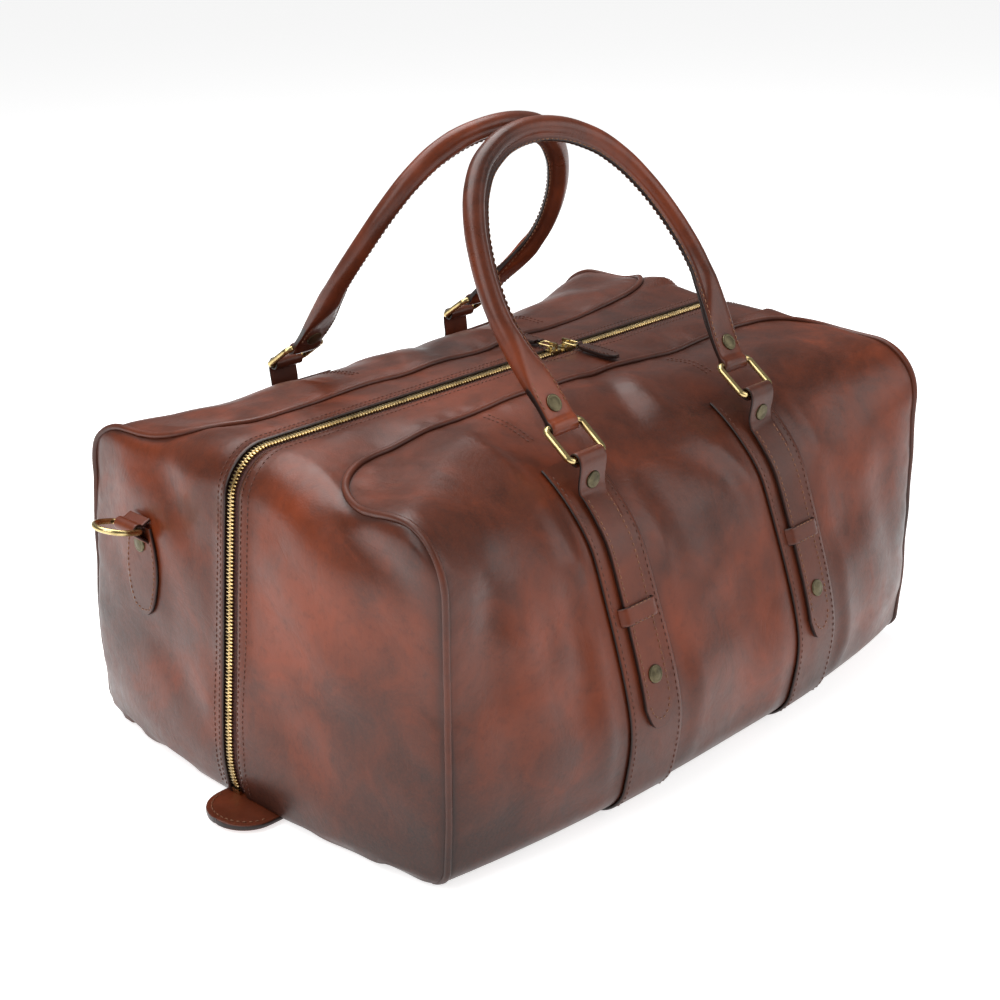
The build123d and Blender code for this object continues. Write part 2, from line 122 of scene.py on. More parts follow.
def form(p):
    """Signed distance, roughly, to the bag's surface without folds."""
    x, y, z = p[:, 0], p[:, 1], p[:, 2]
    far_x, far_y = np.abs(x), np.abs(y)
    depth, share, slumped = side_depth(p)
    side = far_y - depth
    lift = 6 * np.exp(-((x - 205) / 60) ** 2 - ((y - 62) / 40) ** 2)
    lift -= 6 * np.exp(-((x + 215) / 45) ** 2 - ((y + 85) / 45) ** 2)
    lift = lift * smooth(4, 44, far_y) - slumped * 9 * smooth(50, 140, y)
    top = z - (243 - 5 * (far_y / 130) ** 2 + lift)
    shape = rounded(side, top, 58 - 20 * share)
    shape = rounded(shape, 2.5 - z, 24 - 8 * share)
    reach = 250 + end_crown(z) * (1 - np.clip(far_y / 178, 0, 1.15) ** 2.4)
    fillet = 5.5 + 24 * smooth(140, 228, z) * (1 - smooth(60, 165, far_y))
    return rounded(shape, far_x - reach, fillet)


def seam_distance(p):
    """Distance from the piped seams: negative on the front and back panels, positive on the gusset."""
    across = np.abs(p[:, 0]) - (REACH - CORNER)
    along = seam_edge(p[:, 0], p[:, 1] > 0) + CORNER - np.abs(p[:, 1])
    return (np.hypot(np.maximum(across, 0), np.maximum(along, 0)) - CORNER
            + np.minimum(np.maximum(across, along), 0))


def piping_distance(p):
    """Distance along the leather from the piping."""
    seam = seam_distance(p)
    on_end = (1 - smooth(196, 230, p[:, 2])) * smooth(-5, 5, seam)
    return np.hypot(seam, on_end * np.maximum(side_depth(p)[0] - 2 - np.abs(p[:, 1]), 0))


def near_line(p, line):
    """Distance to a line of points, and how far along it the nearest point is, from 0 to 1."""
    line = np.array(line, float)
    best, along = np.full(len(p), 1e9), np.zeros(len(p))
    runs = np.linalg.norm(np.diff(line, axis=0), axis=1)
    before = 0.0
    for a, b, run in zip(line, line[1:], runs):
        t = np.clip(((p - a) @ (b - a)) / run ** 2, 0, 1)
        distance = np.linalg.norm(p - a - t[:, None] * (b - a), axis=1)
        nearer = distance < best
        best = np.where(nearer, distance, best)
        along = np.where(nearer, (before + t * run) / runs.sum(), along)
        before += run
    return best, along


# Folds as (line, half width, rise): a negative rise is a valley.
FOLDS = [
    ([(22, -60, 243), (4, -95, 241), (-8, -130, 234), (6, -152, 218), (38, -166, 196), (52, -178, 165)],
     10, -6.0),
    ([(46, -62, 243), (30, -98, 241), (22, -132, 233), (36, -152, 215), (56, -166, 190)], 13, 5.0),
    ([(-30, -120, 238), (-34, -150, 218), (-22, -172, 180), (-12, -190, 130)], 14, -1.8),
    ([(-258, -84, 226), (-256, -112, 216), (-253, -140, 206), (-251, -160, 190)], 13, -5.0),
    ([(-262, -50, 210), (-262, -90, 196), (-257, -130, 178)], 18, 2.6),
    ([(-208, -165, 215), (-216, -185, 150), (-206, -192, 70)], 15, -3.6),
    ([(-182, -160, 212), (-188, -184, 140), (-176, -197, 60)], 15, 2.8),
    ([(-146, -150, 222), (-140, -182, 150), (-150, -203, 60)], 13, -3.2),
    ([(-232, -170, 200), (-226, -184, 168), (-196, -184, 150)], 12, 1.6),
    ([(150, -160, 214), (160, -185, 140), (150, -200, 60)], 20, -2.0),
    ([(210, -165, 214), (206, -185, 150), (214, -190, 80)], 18, -2.2),
    ([(10, -172, 180), (22, -196, 120), (8, -210, 60)], 20, -1.4),
    ([(-254, 92, 228), (-262, 66, 208), (-266, 40, 176)], 15, -3.6),
    ([(-256, 130, 212), (-262, 104, 186), (-262, 60, 150)], 16, 2.2),
    ([(-262, 120, 120), (-268, 70, 90), (-270, 20, 70)], 20, -1.8),
    ([(-200, 60, 243), (-214, 100, 240), (-220, 130, 232)], 14, -2.8),
    ([(-120, -16, 243), (-150, -30, 243), (-190, -42, 241)], 11, -1.6),
    ([(120, 20, 243), (150, 32, 243), (185, 40, 243)], 12, -1.8),
    ([(-30, 20, 243), (-70, 34, 243), (-110, 44, 242)], 12, -1.8),
    ([(60, -18, 243), (110, -34, 243), (160, -40, 242)], 12, -1.6),
]
# The back repeats four of the front's folds, softer and half a turn round.
FOLDS += [([(-x, -y, z) for x, y, z in line], width * 1.15, rise * 0.8)
          for line, width, rise in FOLDS[:1] + FOLDS[5:8]]

_random = np.random.default_rng(11)
WAVES = [(_random.normal(size=3) / wavelength * 3.6, _random.uniform(0, 6.28), size)
         for wavelength, size in [(150, 0.75)] * 5 + [(80, 0.38)] * 7 + [(42, 0.15)] * 9]


def relief(p):
    """How far folds, seams and stuffing move the surface outwards."""
    x, y, z = p[:, 0], p[:, 1], p[:, 2]
    far_x, far_y = np.abs(x), np.abs(y)
    seam = seam_distance(p)
    rise = sum(size * np.sin(p @ turn + phase) for turn, phase, size in WAVES)
    for line, width, height in FOLDS:
        distance, along = near_line(p, line)
        rise += height * bell(distance, width) * np.sin(np.pi * (0.08 + 0.84 * along))
    beside_strap = np.abs(far_x - STRAP_X)
    on_side = smooth(58, 92, far_y)
    quiet = smooth(30, 46, beside_strap)
    rise *= 1 - on_side * (1 - quiet) * 0.85
    rise += on_side * (0.9 * bell(beside_strap - 38, 12))
    stuffed = smooth(0, 26, seam) * smooth(2, 24, far_y) * smooth(200, 236, z)
    rise += 2.6 * stuffed * (1 - smooth(225, 262, far_x))
    rise += 1.8 * smooth(0, -34, seam) * quiet
    beside_piping = piping_distance(p)
    rise -= 1.3 * bell(beside_piping, 5.5)
    along_top = smooth(222, 236, z)
    pucker = np.sin(x * 0.34 + 1.3 * np.sin(x * 0.06)) * along_top + np.sin(z * 0.3) * (1 - along_top)
    rise += 0.22 * pucker * bell(beside_piping - 8, 5)
    rise *= 1 - 0.9 * np.exp(-((x - 47) / 26) ** 4 - (far_y / 48) ** 6) * smooth(200, 230, z)
    limit = 0.9 + 12 * (1 - smooth(60, 46, far_y) * smooth(205, 232, z))   # the pulls slide over the top
    rise -= np.logaddexp(0, 2 * (rise - limit)) / 2
    clear_of_zip = smooth(4, 22, far_y)
    rise = rise * clear_of_zip - 0.5 * bell(far_y, 12)
    rise *= smooth(6, 46, z)
    at_patch = np.exp(-((x + 266) / 40) ** 4 - ((y - 94) / 26) ** 4 - ((z - 145) / 45) ** 4)
    return rise * (1 - 0.9 * at_patch)


def surface(p):
    return form(p) - relief(p)


def gradient(p):
    step = 0.6
    parts = []
    for axis in range(3):
        shift = np.zeros(3)
        shift[axis] = step
        parts.append((surface(p + shift) - surface(p - shift)) / (2 * step))
    return np.stack(parts, 1)


def settle(points, rounds=4):
    """Points moved onto the surface, and the outward normals there."""
    shape = points.shape
    p = points.reshape(-1, 3).astype(float)
    for _ in range(rounds):
        slope = gradient(p)
        p = p - slope * (surface(p) / np.maximum((slope ** 2).sum(1), 0.2))[:, None]
    return p.reshape(shape), unit(gradient(p)).reshape(shape)


def cast(origin, direction, far=400.0):
    """Where rays from inside leave the surface."""
    origin, direction = (np.array(v, float) for v in np.broadcast_arrays(origin, direction))
    low, high = np.zeros(len(origin)), np.full(len(origin), far)
    for _ in range(18):
        half = (low + high) / 2
        inside = form(origin + direction * half[:, None]) < 0
        low, high = np.where(inside, half, low), np.where(inside, high, half)
    return origin + direction * low[:, None]


def lengths(line):
    return np.r_[0, np.cumsum(np.linalg.norm(np.diff(line, axis=0), axis=1))]


def sample(line, run, at):
    """Points of a line where its run reaches each of the given lengths."""
    return np.stack([np.interp(at, run, line[:, k]) for k in range(3)], 1)


def spaced(line, count=None, pitch=None):
    """The line with evenly spaced points."""
    run = lengths(line)
    count = count or max(2, int(round(run[-1] / pitch)) + 1)
    return sample(line, run, np.linspace(0, run[-1], count))


def fan_x(x, high, count=900):
    """Line round under the bag at one x, from the front at a height to the back at the same height."""
    turn = np.linspace(math.radians(125), math.radians(415), count)
    ring = cast(np.array([x, 0.0, 105.0]), np.stack([0 * turn, np.cos(turn), np.sin(turn)], 1))
    return ring[ring[:, 2] <= high]


def fan_y(y, low=None, count=1600):
    """Line over the bag at one y, from the left end's foot to the right end's, or from under them."""
    centre = np.array([0.0, y, 100.0])
    turn = np.linspace(math.radians(206), math.radians(-26), count)
    line = cast(centre, np.stack([np.cos(turn), 0 * turn, np.sin(turn)], 1))
    return line[line[:, 2] > low] if low else line[(np.abs(line[:, 0]) > 244) | (line[:, 2] > 20)]


# ---- meshes ----------------------------------------------------------------------------------------------
def make(name, parts, material, body="bag", slot=None, edge=None, tone=None, sharp=50):
    """Mesh object from points in millimetres and faces, riding on a body."""
    verts, faces = parts
    faces = faces if isinstance(faces, list) else faces.tolist()
    mesh = bpy.data.meshes.new(name)
    mesh.from_pydata((np.asarray(verts, float) * MM).tolist(), [], faces)
    mesh.validate()
    for label, values in (("edge", edge), ("tone", tone)):
        attribute = mesh.attributes.new(label, "FLOAT", "POINT")
        if values is not None:
            attribute.data.foreach_set("value", np.asarray(values, np.float32).ravel())
    mesh.polygons.foreach_set("use_smooth", np.ones(len(mesh.polygons), bool))
    if sharp:
        mesh.set_sharp_from_angle(angle=math.radians(sharp))
    mesh.materials.append(material)
    piece = bpy.data.objects.new(name, mesh)
    bpy.context.scene.collection.objects.link(piece)
    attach(piece, body)
    return piece


def grid_quads(rows, columns, wrap=False):
    index = np.arange(rows * columns).reshape(rows, columns)
    if wrap:
        index = np.c_[index, index[:, :1]]
    return np.stack([index[:-1, :-1], index[:-1, 1:], index[1:, 1:], index[1:, :-1]], -1).reshape(-1, 4)


def slab_parts(outer, inner):
    """Closed sheet between two grids of points."""
    rows, columns = outer.shape[:2]
    count = rows * columns
    top = grid_quads(rows, columns)
    index = np.arange(count).reshape(rows, columns)
    rim = np.r_[index[0, :-1], index[:-1, -1], index[-1, :0:-1], index[:0:-1, 0]]
    after = np.roll(rim, -1)
    sides = np.stack([after, rim, rim + count, after + count], -1)
    faces = np.r_[top, top[:, ::-1] + count, sides]
    return np.r_[outer.reshape(-1, 3), inner.reshape(-1, 3)], faces


def facing(verts, faces, centre_normal, at):
    """Faces turned so that face number at points along centre_normal."""
    a, b, c = (verts[faces[at][k]] for k in range(3))
    return faces if np.dot(np.cross(b - a, c - a), centre_normal) > 0 else faces[:, ::-1]


def slab(name, points, normals, outer, inner, material, edge=None, **options):
    """Closed sheet over a grid of surface points, between two lifts."""
    outer, inner = (np.broadcast_to(v, points.shape[:2])[..., None] for v in (outer, inner))
    verts, faces = slab_parts(points + normals * outer, points + normals * inner)
    middle = (points.shape[0] // 2) * (points.shape[1] - 1) + points.shape[1] // 2
    faces = facing(verts, faces, normals[points.shape[0] // 2, points.shape[1] // 2], middle)
    edge = np.zeros(points.shape[:2]) if edge is None else edge
    shade = mottle_and_painted_light_tone(points.reshape(-1, 3))
    return make(name, (verts, faces), material, edge=np.r_[edge.ravel(), edge.ravel()],
                tone=np.r_[shade, shade], **options)


def tube_parts(sections):
    """Skin over rings of points, with its ends closed."""
    rows, columns = sections.shape[:2]
    faces = grid_quads(rows, columns, wrap=True).tolist()
    faces += [list(range(columns))[::-1], [(rows - 1) * columns + k for k in range(columns)]]
    return sections.reshape(-1, 3), faces


def merged(parts):
    """One set of points and faces from several."""
    verts, faces, start = [], [], 0
    for points, polygons in parts:
        verts.append(points)
        faces += [[k + start for k in polygon] for polygon in polygons]
        start += len(points)
    return np.concatenate(verts), faces


def round_tube(line, normals, radius, sides=12):
    """Rings of points round a line."""
    along = unit(np.gradient(line, axis=0))
    across = unit(np.cross(along, normals))
    up = np.cross(across, along)
    turn = np.linspace(0, 2 * math.pi, sides, endpoint=False)
    return line[:, None] + radius * (np.cos(turn)[None, :, None] * across[:, None]
                                     + np.sin(turn)[None, :, None] * up[:, None])


# Patches where the leather is lighter and redder (positive) or darker (negative): partly its own rubbed and
# burnished mottling, partly painted light high on the left end and painted shade low on the ends and the
# front. (centre, radius, strength).
MOTTLE_AND_PAINTED_LIGHT_PATCHES = [((-120, -195, 130), 80, 0.5), ((-40, -200, 120), 60, 0.45), ((30, -200, 70), 70, 0.3),
           ((-200, -180, 60), 60, -0.35), ((-225, -175, 205), 45, -0.25), ((20, -170, 190), 60, -0.4),
           ((160, -175, 185), 60, 0.35), ((220, -180, 100), 50, -0.4), ((130, -205, 60), 60, -0.2),
           ((-262, -70, 185), 55, 0.55), ((-262, -60, 110), 70, 0.35), ((-262, -150, 40), 55, -0.4),
           ((-268, -30, 20), 60, -0.3), ((-262, 90, 190), 45, 0.5), ((-262, 120, 70), 60, -0.35),
           ((-265, 40, 120), 45, 0.2), ((-60, -30, 243), 60, 0.3), ((120, -60, 243), 70, -0.2),
           ((-180, 60, 243), 60, 0.3), ((60, 90, 240), 80, -0.3), ((100, 200, 120), 90, 0.4),
           ((-120, 200, 120), 80, -0.2), ((262, 60, 110), 80, 0.4), ((262, -80, 150), 60, -0.2)]


def mottle_and_painted_light_tone(p):
    shade = np.zeros(len(p))
    for centre, radius, strength in MOTTLE_AND_PAINTED_LIGHT_PATCHES:
        shade += strength * np.exp(-(((p - np.array(centre, float)) ** 2).sum(1)) / radius ** 2)
    # painted shade: darker towards the floor, below 60 mm
    return shade - 0.5 * smooth(60, 0, p[:, 2])


# ---- stitches --------------------------------------------------------------------------------------------
def stitch_parts(line, normals, pitch=4.3, length=3.0, radius=0.42, sink=0.1):
    """Short raised threads along a line on a surface."""
    run = lengths(line)
    at = np.arange(pitch, run[-1] - pitch / 2, pitch)
    if not len(at):
        return []
    profile = [(-0.5, 0.25, -0.35), (-0.36, 0.85, 0.1), (0, 1, 0.28), (0.36, 0.85, 0.1), (0.5, 0.25, -0.35)]
    turn = np.linspace(0, 2 * math.pi, 6, endpoint=False)
    lift = unit(sample(normals, run, at))
    forward = unit(sample(line, run, at + 0.5) - sample(line, run, at - 0.5))
    sideways = np.cross(forward, lift)
    rings = []
    for reach, thick, rise in profile:
        centre = sample(line, run, at + reach * length) + lift * (rise - sink)
        rings.append(centre[:, None] + radius * thick * (np.cos(turn)[None, :, None] * sideways[:, None]
                                                         + np.sin(turn)[None, :, None] * lift[:, None]))
    rings = np.stack(rings, 1)
    return [tube_parts(one) for one in rings]


def stitches(name, rows, material, body="bag", slot="trim_leather", **options):
    parts = []
    for line, normals in rows:
        parts += stitch_parts(line, normals, **options)
    return make(name, merged(parts), material, body, slot, sharp=None)


# ---- materials -------------------------------------------------------------------------------------------
def linear(*rgb):
    return tuple((v / 255 / 12.92 if v <= 10 else ((v / 255 + 0.055) / 1.055) ** 2.4) for v in rgb) + (1.0,)


class Shader:
    """A node material, with short ways to add and join nodes."""

    def __init__(self, name):
        self.material = bpy.data.materials.new(name)
        self.material.use_nodes = True
        self.tree = self.material.node_tree
        self.main = self.tree.nodes["Principled BSDF"]

    def node(self, kind, inputs=(), **settings):
        made = self.tree.nodes.new(kind)
        for key, value in settings.items():
            setattr(made, key, value)
        for key, value in dict(inputs).items():
            self.set(made.inputs[key], value)
        return made

    def set(self, socket, value):
        if isinstance(value, bpy.types.NodeSocket):
            self.tree.links.new(value, socket)
        else:
            socket.default_value = value

    def give(self, name, value):
        self.set(self.main.inputs[name], value)

    def noise(self, where, scale, detail=4.0, rough=0.55, distortion=0.0):
        return self.node("ShaderNodeTexNoise", {"Vector": where, "Scale": scale, "Detail": detail,
                                                "Roughness": rough, "Distortion": distortion}).outputs["Fac"]

    def span(self, value, low, high, to_low=0.0, to_high=1.0):
        made = self.node("ShaderNodeMapRange", {"Value": value, "From Min": low, "From Max": high,
                                                "To Min": to_low, "To Max": to_high}, clamp=True)
        return made.outputs["Result"]

    def math(self, kind, a, b=0.0):
        made = self.node("ShaderNodeMath", operation=kind)
        self.set(made.inputs[0], a)
        self.set(made.inputs[1], b)
        return made.outputs[0]

    def mix(self, share, a, b, blend="MIX"):
        made = self.node("ShaderNodeMix", data_type="RGBA", blend_type=blend)
        self.set(made.inputs["Factor"], share)
        self.set(made.inputs["A"], a)
        self.set(made.inputs["B"], b)
        return made.outputs["Result"]

    def position(self):
        return self.node("ShaderNodeTexCoord").outputs["Object"]

    def attribute(self, name):
        return self.node("ShaderNodeAttribute", attribute_name=name).outputs["Fac"]

    def bump(self, height, distance, strength=1.0, under=None):
        made = self.node("ShaderNodeBump", {"Height": height, "Distance": distance, "Strength": strength})
        if under is not None:
            self.set(made.inputs["Normal"], under)
        return made.outputs["Normal"]


def leather(name, base, dark, rub, edge_colour, rough=0.36, crease=1.0, mottle=1.0):
    """Polished vegetable-tanned leather: burnished mottling, pores, fine creases and painted edges; the tone
    attribute also brings painted light and painted shade into the colour, the edge attribute painted shade.
    """
    s = Shader(name)
    where = s.position()
    clouds = s.noise(where, 7.5, 5, 0.6, 0.4)
    blotches = s.noise(where, 26, 6, 0.62, 0.8)
    speckle = s.noise(where, 140, 4, 0.7)
    fine = s.noise(where, 620, 3, 0.6)
    # tone: mottling, with painted light and painted shade added per point
    tone = s.attribute("tone")
    warm = s.math("ADD", s.span(clouds, 0.36, 0.68, -0.5 * mottle, 0.5 * mottle), tone)
    warm = s.math("ADD", warm, s.span(blotches, 0.35, 0.68, -0.32 * mottle, 0.32 * mottle))
    colour = s.mix(s.span(warm, 0.0, 0.9), base, rub)
    colour = s.mix(s.span(warm, 0.05, -0.85), colour, dark)
    colour = s.mix(s.span(speckle, 0.52, 0.74, 0.0, 0.35), colour, dark)
    colour = s.mix(s.span(fine, 0.35, 0.7, 0.0, 0.16), colour, rub)
    edge = s.attribute("edge")
    # darker where the edge attribute rises: painted edges and their wear, and painted shade by the seams,
    # beside the base straps and towards the floor
    edge_wear_and_shade = s.math("ADD", edge, s.span(blotches, 0.3, 0.7, -0.16, 0.16))
    colour = s.mix(s.span(edge_wear_and_shade, 0.15, 0.75, 0.0, 0.62), colour, dark)
    colour = s.mix(s.span(edge, 0.78, 0.92), colour, edge_colour)
    s.give("Base Color", colour)
    gloss = s.math("ADD", s.span(blotches, 0.3, 0.7, -0.06, 0.08), s.span(speckle, 0.3, 0.7, -0.03, 0.05))
    s.give("Roughness", s.math("ADD", gloss, rough))
    s.give("Specular IOR Level", 0.33)
    s.give("Coat Weight", 0.05)
    s.give("Coat Roughness", 0.22)
    cells = s.node("ShaderNodeTexVoronoi", {"Vector": where, "Scale": 950.0}, feature="SMOOTH_F1")
    pores = cells.outputs["Distance"]
    bent = s.noise(where, 30, 4, 0.55, 1.4)
    wrinkle = s.span(s.math("ABSOLUTE", s.math("SUBTRACT", bent, 0.5)), 0.0, 0.09)
    normal = s.bump(blotches, 0.0009 * crease, 0.35)
    normal = s.bump(wrinkle, 0.0003 * crease, 0.16, normal)
    normal = s.bump(pores, 0.00016, 0.22, normal)
    s.give("Normal", normal)
    return s.material


def thread(name, colour):
    s = Shader(name)
    where = s.position()
    twist = s.node("ShaderNodeTexWave", {"Vector": where, "Scale": 520.0, "Distortion": 2.0}).outputs["Fac"]
    shade = s.mix(s.span(s.noise(where, 300), 0.35, 0.7), colour, tuple(v * 0.62 for v in colour[:3]) + (1,))
    s.give("Base Color", shade)
    s.give("Roughness", s.span(twist, 0, 1, 0.55, 0.75))
    s.give("Normal", s.bump(twist, 0.0001, 0.4))
    return s.material


def metal(name, bright, tarnish, rough, amount):
    """Brass, polished on top with antique tarnish in patches."""
    s = Shader(name)
    where = s.position()
    spots = s.noise(where, 170, 6, 0.66, 0.5)
    cloud = s.noise(where, 60, 3)
    share = s.math("MULTIPLY", s.span(s.math("ADD", spots, cloud), 0.92, 1.3), amount)
    s.give("Base Color", s.mix(share, bright, tarnish))
    s.give("Metallic", 1.0)
    s.give("Roughness", s.math("ADD", s.span(spots, 0.3, 0.7, -0.05, 0.14), rough))
    s.give("Normal", s.bump(s.noise(where, 480, 4, 0.6), 0.00003, 0.3))
    return s.material


def woven(name, colour, dark, pitch):
    """Woven tape or cloth."""
    s = Shader(name)
    where = s.position()
    warp, weft, rise = (s.node("ShaderNodeTexWave", {"Vector": where, "Scale": pitch},
                               bands_direction=way).outputs["Fac"] for way in "XYZ")
    cross = s.math("MULTIPLY", s.math("MAXIMUM", warp, rise), weft)
    s.give("Base Color", s.mix(cross, dark, colour))
    s.give("Roughness", s.span(s.noise(where, 90), 0.3, 0.7, 0.72, 0.9))
    s.give("Normal", s.bump(cross, 0.0002, 0.6))
    return s.material


def pressed_board(name):
    s = Shader(name)
    where = s.position()
    grain = s.noise(where, 220, 5)
    s.give("Base Color", s.mix(grain, linear(70, 58, 46), linear(112, 96, 78)))
    s.give("Roughness", s.span(grain, 0.3, 0.7, 0.7, 0.9))
    s.give("Normal", s.bump(grain, 0.0003, 0.4))
    return s.material


EDGE_PAINT = linear(34, 19, 15)
PANEL = leather("panel_leather", linear(84, 37, 19), linear(42, 21, 14), linear(122, 51, 21), EDGE_PAINT)
TRIM = leather("trim_leather", linear(82, 38, 22), linear(42, 22, 15), linear(112, 49, 24), EDGE_PAINT,
               0.38, 0.55, 0.8)
HANDLE = leather("handle_leather", linear(90, 41, 23), linear(44, 23, 16), linear(126, 57, 30), EDGE_PAINT,
                 0.31, 0.5, 0.9)
PALE_THREAD = thread("tan_thread", linear(132, 86, 58))
DARK_THREAD = thread("brown_thread", linear(92, 50, 34))
BRASS = metal("antique_brass", linear(206, 184, 130), linear(116, 96, 60), 0.2, 0.7)
TEETH = metal("zip_brass", linear(214, 190, 140), linear(122, 100, 64), 0.24, 0.8)
CAP = metal("rivet_brass", linear(100, 92, 70), linear(60, 55, 42), 0.38, 0.9)
TAPE = woven("zip_tape", linear(96, 44, 34), linear(48, 22, 18), 900.0)
CLOTH = woven("lining_cloth", linear(120, 104, 84), linear(76, 64, 50), 700.0)
BOARD = pressed_board("board")
CORE = woven("handle_core", linear(168, 156, 130), linear(118, 106, 84), 500.0)


# ---- panels, gusset and piping ---------------------------------------------------------------------------
def panel_grid(side):
    """Points and normals over the front (side -1) or back panel, in rows down from the top seam."""
    spread = np.sin(np.linspace(-1, 1, 201) * 1.25) / math.sin(1.25)
    rows = []
    for x in REACH * spread:
        over = max(abs(x) - (REACH - CORNER), 0.0)
        edge = float(seam_edge(x, side > 0)) + CORNER - math.sqrt(CORNER ** 2 - min(over, CORNER) ** 2)
        top = cast(np.array([[x, side * edge, 120.0]]), np.array([[0, 0, 1.0]]))[0]
        bottom = cast(np.array([[x, side * 150.0, 60.0]]), np.array([[0, 0, -1.0]]))[0]
        centre = np.array([x, side * 88.0, 108.0])
        first = math.atan2(top[2] - centre[2], side * (top[1] - centre[1]))
        last = math.atan2(bottom[2] - centre[2], side * (bottom[1] - centre[1]))
        turn = np.linspace(first, last, 150)
        line = cast(centre, np.stack([0 * turn, side * np.cos(turn), np.sin(turn)], 1))
        line[0], line[-1] = top, bottom
        rows.append(spaced(line, 140))
    return settle(np.stack(rows, 1), 2)


def make_panel(side, name):
    points, normals = panel_grid(side)
    seam = seam_distance(points.reshape(-1, 3)).reshape(points.shape[:2])
    # Darker by the piped seam, partly burnished wear and partly painted shade in its groove; painted shade
    # in the crevice against the piping; painted shade towards the floor.
    edge = 0.34 * bell(seam, 11) + 0.5 * bell(np.abs(seam) - 2, 1.6) + 0.14 * smooth(40, 0, points[..., 2])
    beside = np.abs(np.abs(points[..., 0]) - STRAP_X)
    # painted shade on the panel along the base straps' edges
    edge += 0.4 * bell(beside - 24, 7) * smooth(226, 205, points[..., 2])
    piece = slab(name, points, normals, 0.0, -2.2, PANEL, edge, slot="panel_leather")
    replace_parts(piece, name)
    return points


def border(points):
    """The panel's piped edge: up one end, along the top, down the other end."""
    return np.concatenate([points[::-1, 0], points[0, 1:-1], points[:, -1]])


def make_piping(points, name):
    """Piping along the panel's edge; gives back the whole edge."""
    whole = border(points)
    line, normals = settle(spaced(whole[whole[:, 2] > 2.9], pitch=2.5), 2)
    lift = (0.9 - 2.6 * smooth(16, 3, line[:, 2]))[:, None]
    parts = tube_parts(round_tube(line + normals * lift, normals, PIPING_RADIUS))
    turn = np.linspace(0, 2 * math.pi, 12, endpoint=False)
    # painted shade on the piping's flanks, where it meets the panel and the gusset
    around = np.tile(0.5 * np.abs(np.cos(turn)) ** 6, len(line))
    piece = make(name, parts, TRIM, slot="trim_leather", edge=around, tone=mottle_and_painted_light_tone(parts[0]))
    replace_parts(piece, name)
    return whole


# Points on the upright, corner, top, corner and upright of a line over the bag.
ZIP_COUNTS = [60, 30, 118, 30, 60]


def cut_at_knots(line, knots, counts):
    run = lengths(line)
    at = np.concatenate([np.linspace(run[a], run[b], n, endpoint=False)
                         for a, b, n in zip(knots, knots[1:], counts)] + [[run[knots[-1]]]])
    return sample(line, run, at)


def corners_of(line):
    """Places along a line over the bag where the ends' uprights and the straight top begin and finish."""
    high, x = line[:, 2], line[:, 0]
    left = int(np.argmax(high > 175))
    right = len(line) - 1 - int(np.argmax(high[::-1] > 175))
    inner = np.where(np.abs(x) < REACH - CORNER)[0]
    return [0, left, int(inner[0]), int(inner[-1]), right, len(line) - 1]


def make_gusset(side, name, seam_line):
    zip_line = fan_y(side * ZIP_EDGE[side])
    inner, outer = (cut_at_knots(line, corners_of(line), ZIP_COUNTS) for line in (zip_line, seam_line))
    share = np.linspace(0, 1, 64)[None, :, None] ** 1.15
    grid = inner[:, None] * (1 - share) + outer[:, None] * share
    points, normals = settle(grid, 6)
    away = np.abs(points[..., 1]) - ZIP_EDGE[side]
    seam = piping_distance(points.reshape(-1, 3)).reshape(points.shape[:2])
    # The painted zip edge and darker towards it; darker by the piped seam, partly burnished wear and partly
    # painted shade; painted shade in the crevice against the piping.
    edge = 0.85 * bell(away, 1.3) + 0.22 * bell(away, 9) + 0.3 * bell(seam, 9)
    edge += 0.5 * bell(np.abs(seam) - 2, 1.6)
    if side < 0:
        fold = -1.3 * bell(away, 1.6) + 0.35 * bell(away - 5.5, 2.6)
    else:
        fold = 1.5 * bell(away, 5.5) - 0.8 * bell(away, 0.8)
    piece = slab(name, points, normals, fold, fold - 2.2, PANEL, edge, slot="panel_leather")
    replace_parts(piece, name)


def make_bottom():
    x = np.linspace(-1, 1, 121)
    lean = np.clip((np.abs(x) * 250 - 225) / 25, 0, 1) * math.radians(30) * np.sign(x)
    down = np.stack([np.sin(lean), 0 * x, -np.cos(lean)], 1)
    rows = [cast(grid_of(np.clip(x * 250, -225, 225), y, 45.0), down) for y in np.linspace(-151, 151, 60)]
    points, normals = settle(np.stack(rows), 2)
    piece = slab("bottom_panel", points, normals, -0.5, -2.3, PANEL, np.full(points.shape[:2], 0.4),
                 slot="panel_leather")
    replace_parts(piece, "bottom_panel")


def make_lining():
    """Lining bag, a few millimetres inside the leather, open along the zip."""
    for side, name in ((-1, "lining_front"), (1, "lining_back")):
        lines = [fan_x(x, 300, 360) for x in np.linspace(-236, 236, 60)]
        lines = [spaced(line[line[:, 1] * side > 7.0], 90) for line in lines]
        points, normals = settle(np.stack(lines, 1), 2)
        piece = slab(name, points, normals, -5.0, -5.8, CLOTH, slot="lining_cloth")
        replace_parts(piece, "lining")


def stitch_line(y, low=9.0):
    line = spaced(fan_y(y, low), pitch=3.0)
    return settle(line, 2)


def make_zip_stops():
    """Brass stops at the lower ends of the zip."""
    for turned, end in ((1, "left"), (-1, "right")):
        y, z = np.meshgrid(np.linspace(-3.4, 3.4, 9), np.linspace(7.0, 11.5, 7))
        points, normals = end_points(y, z, turned)
        shape = y.shape + (3,)
        stop = slab(f"zip_stop_{end}", points.reshape(shape), normals.reshape(shape), 0.7, -1.6, BRASS,
                    slot="zip_brass")
        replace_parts(stop, "zip_end_stops")


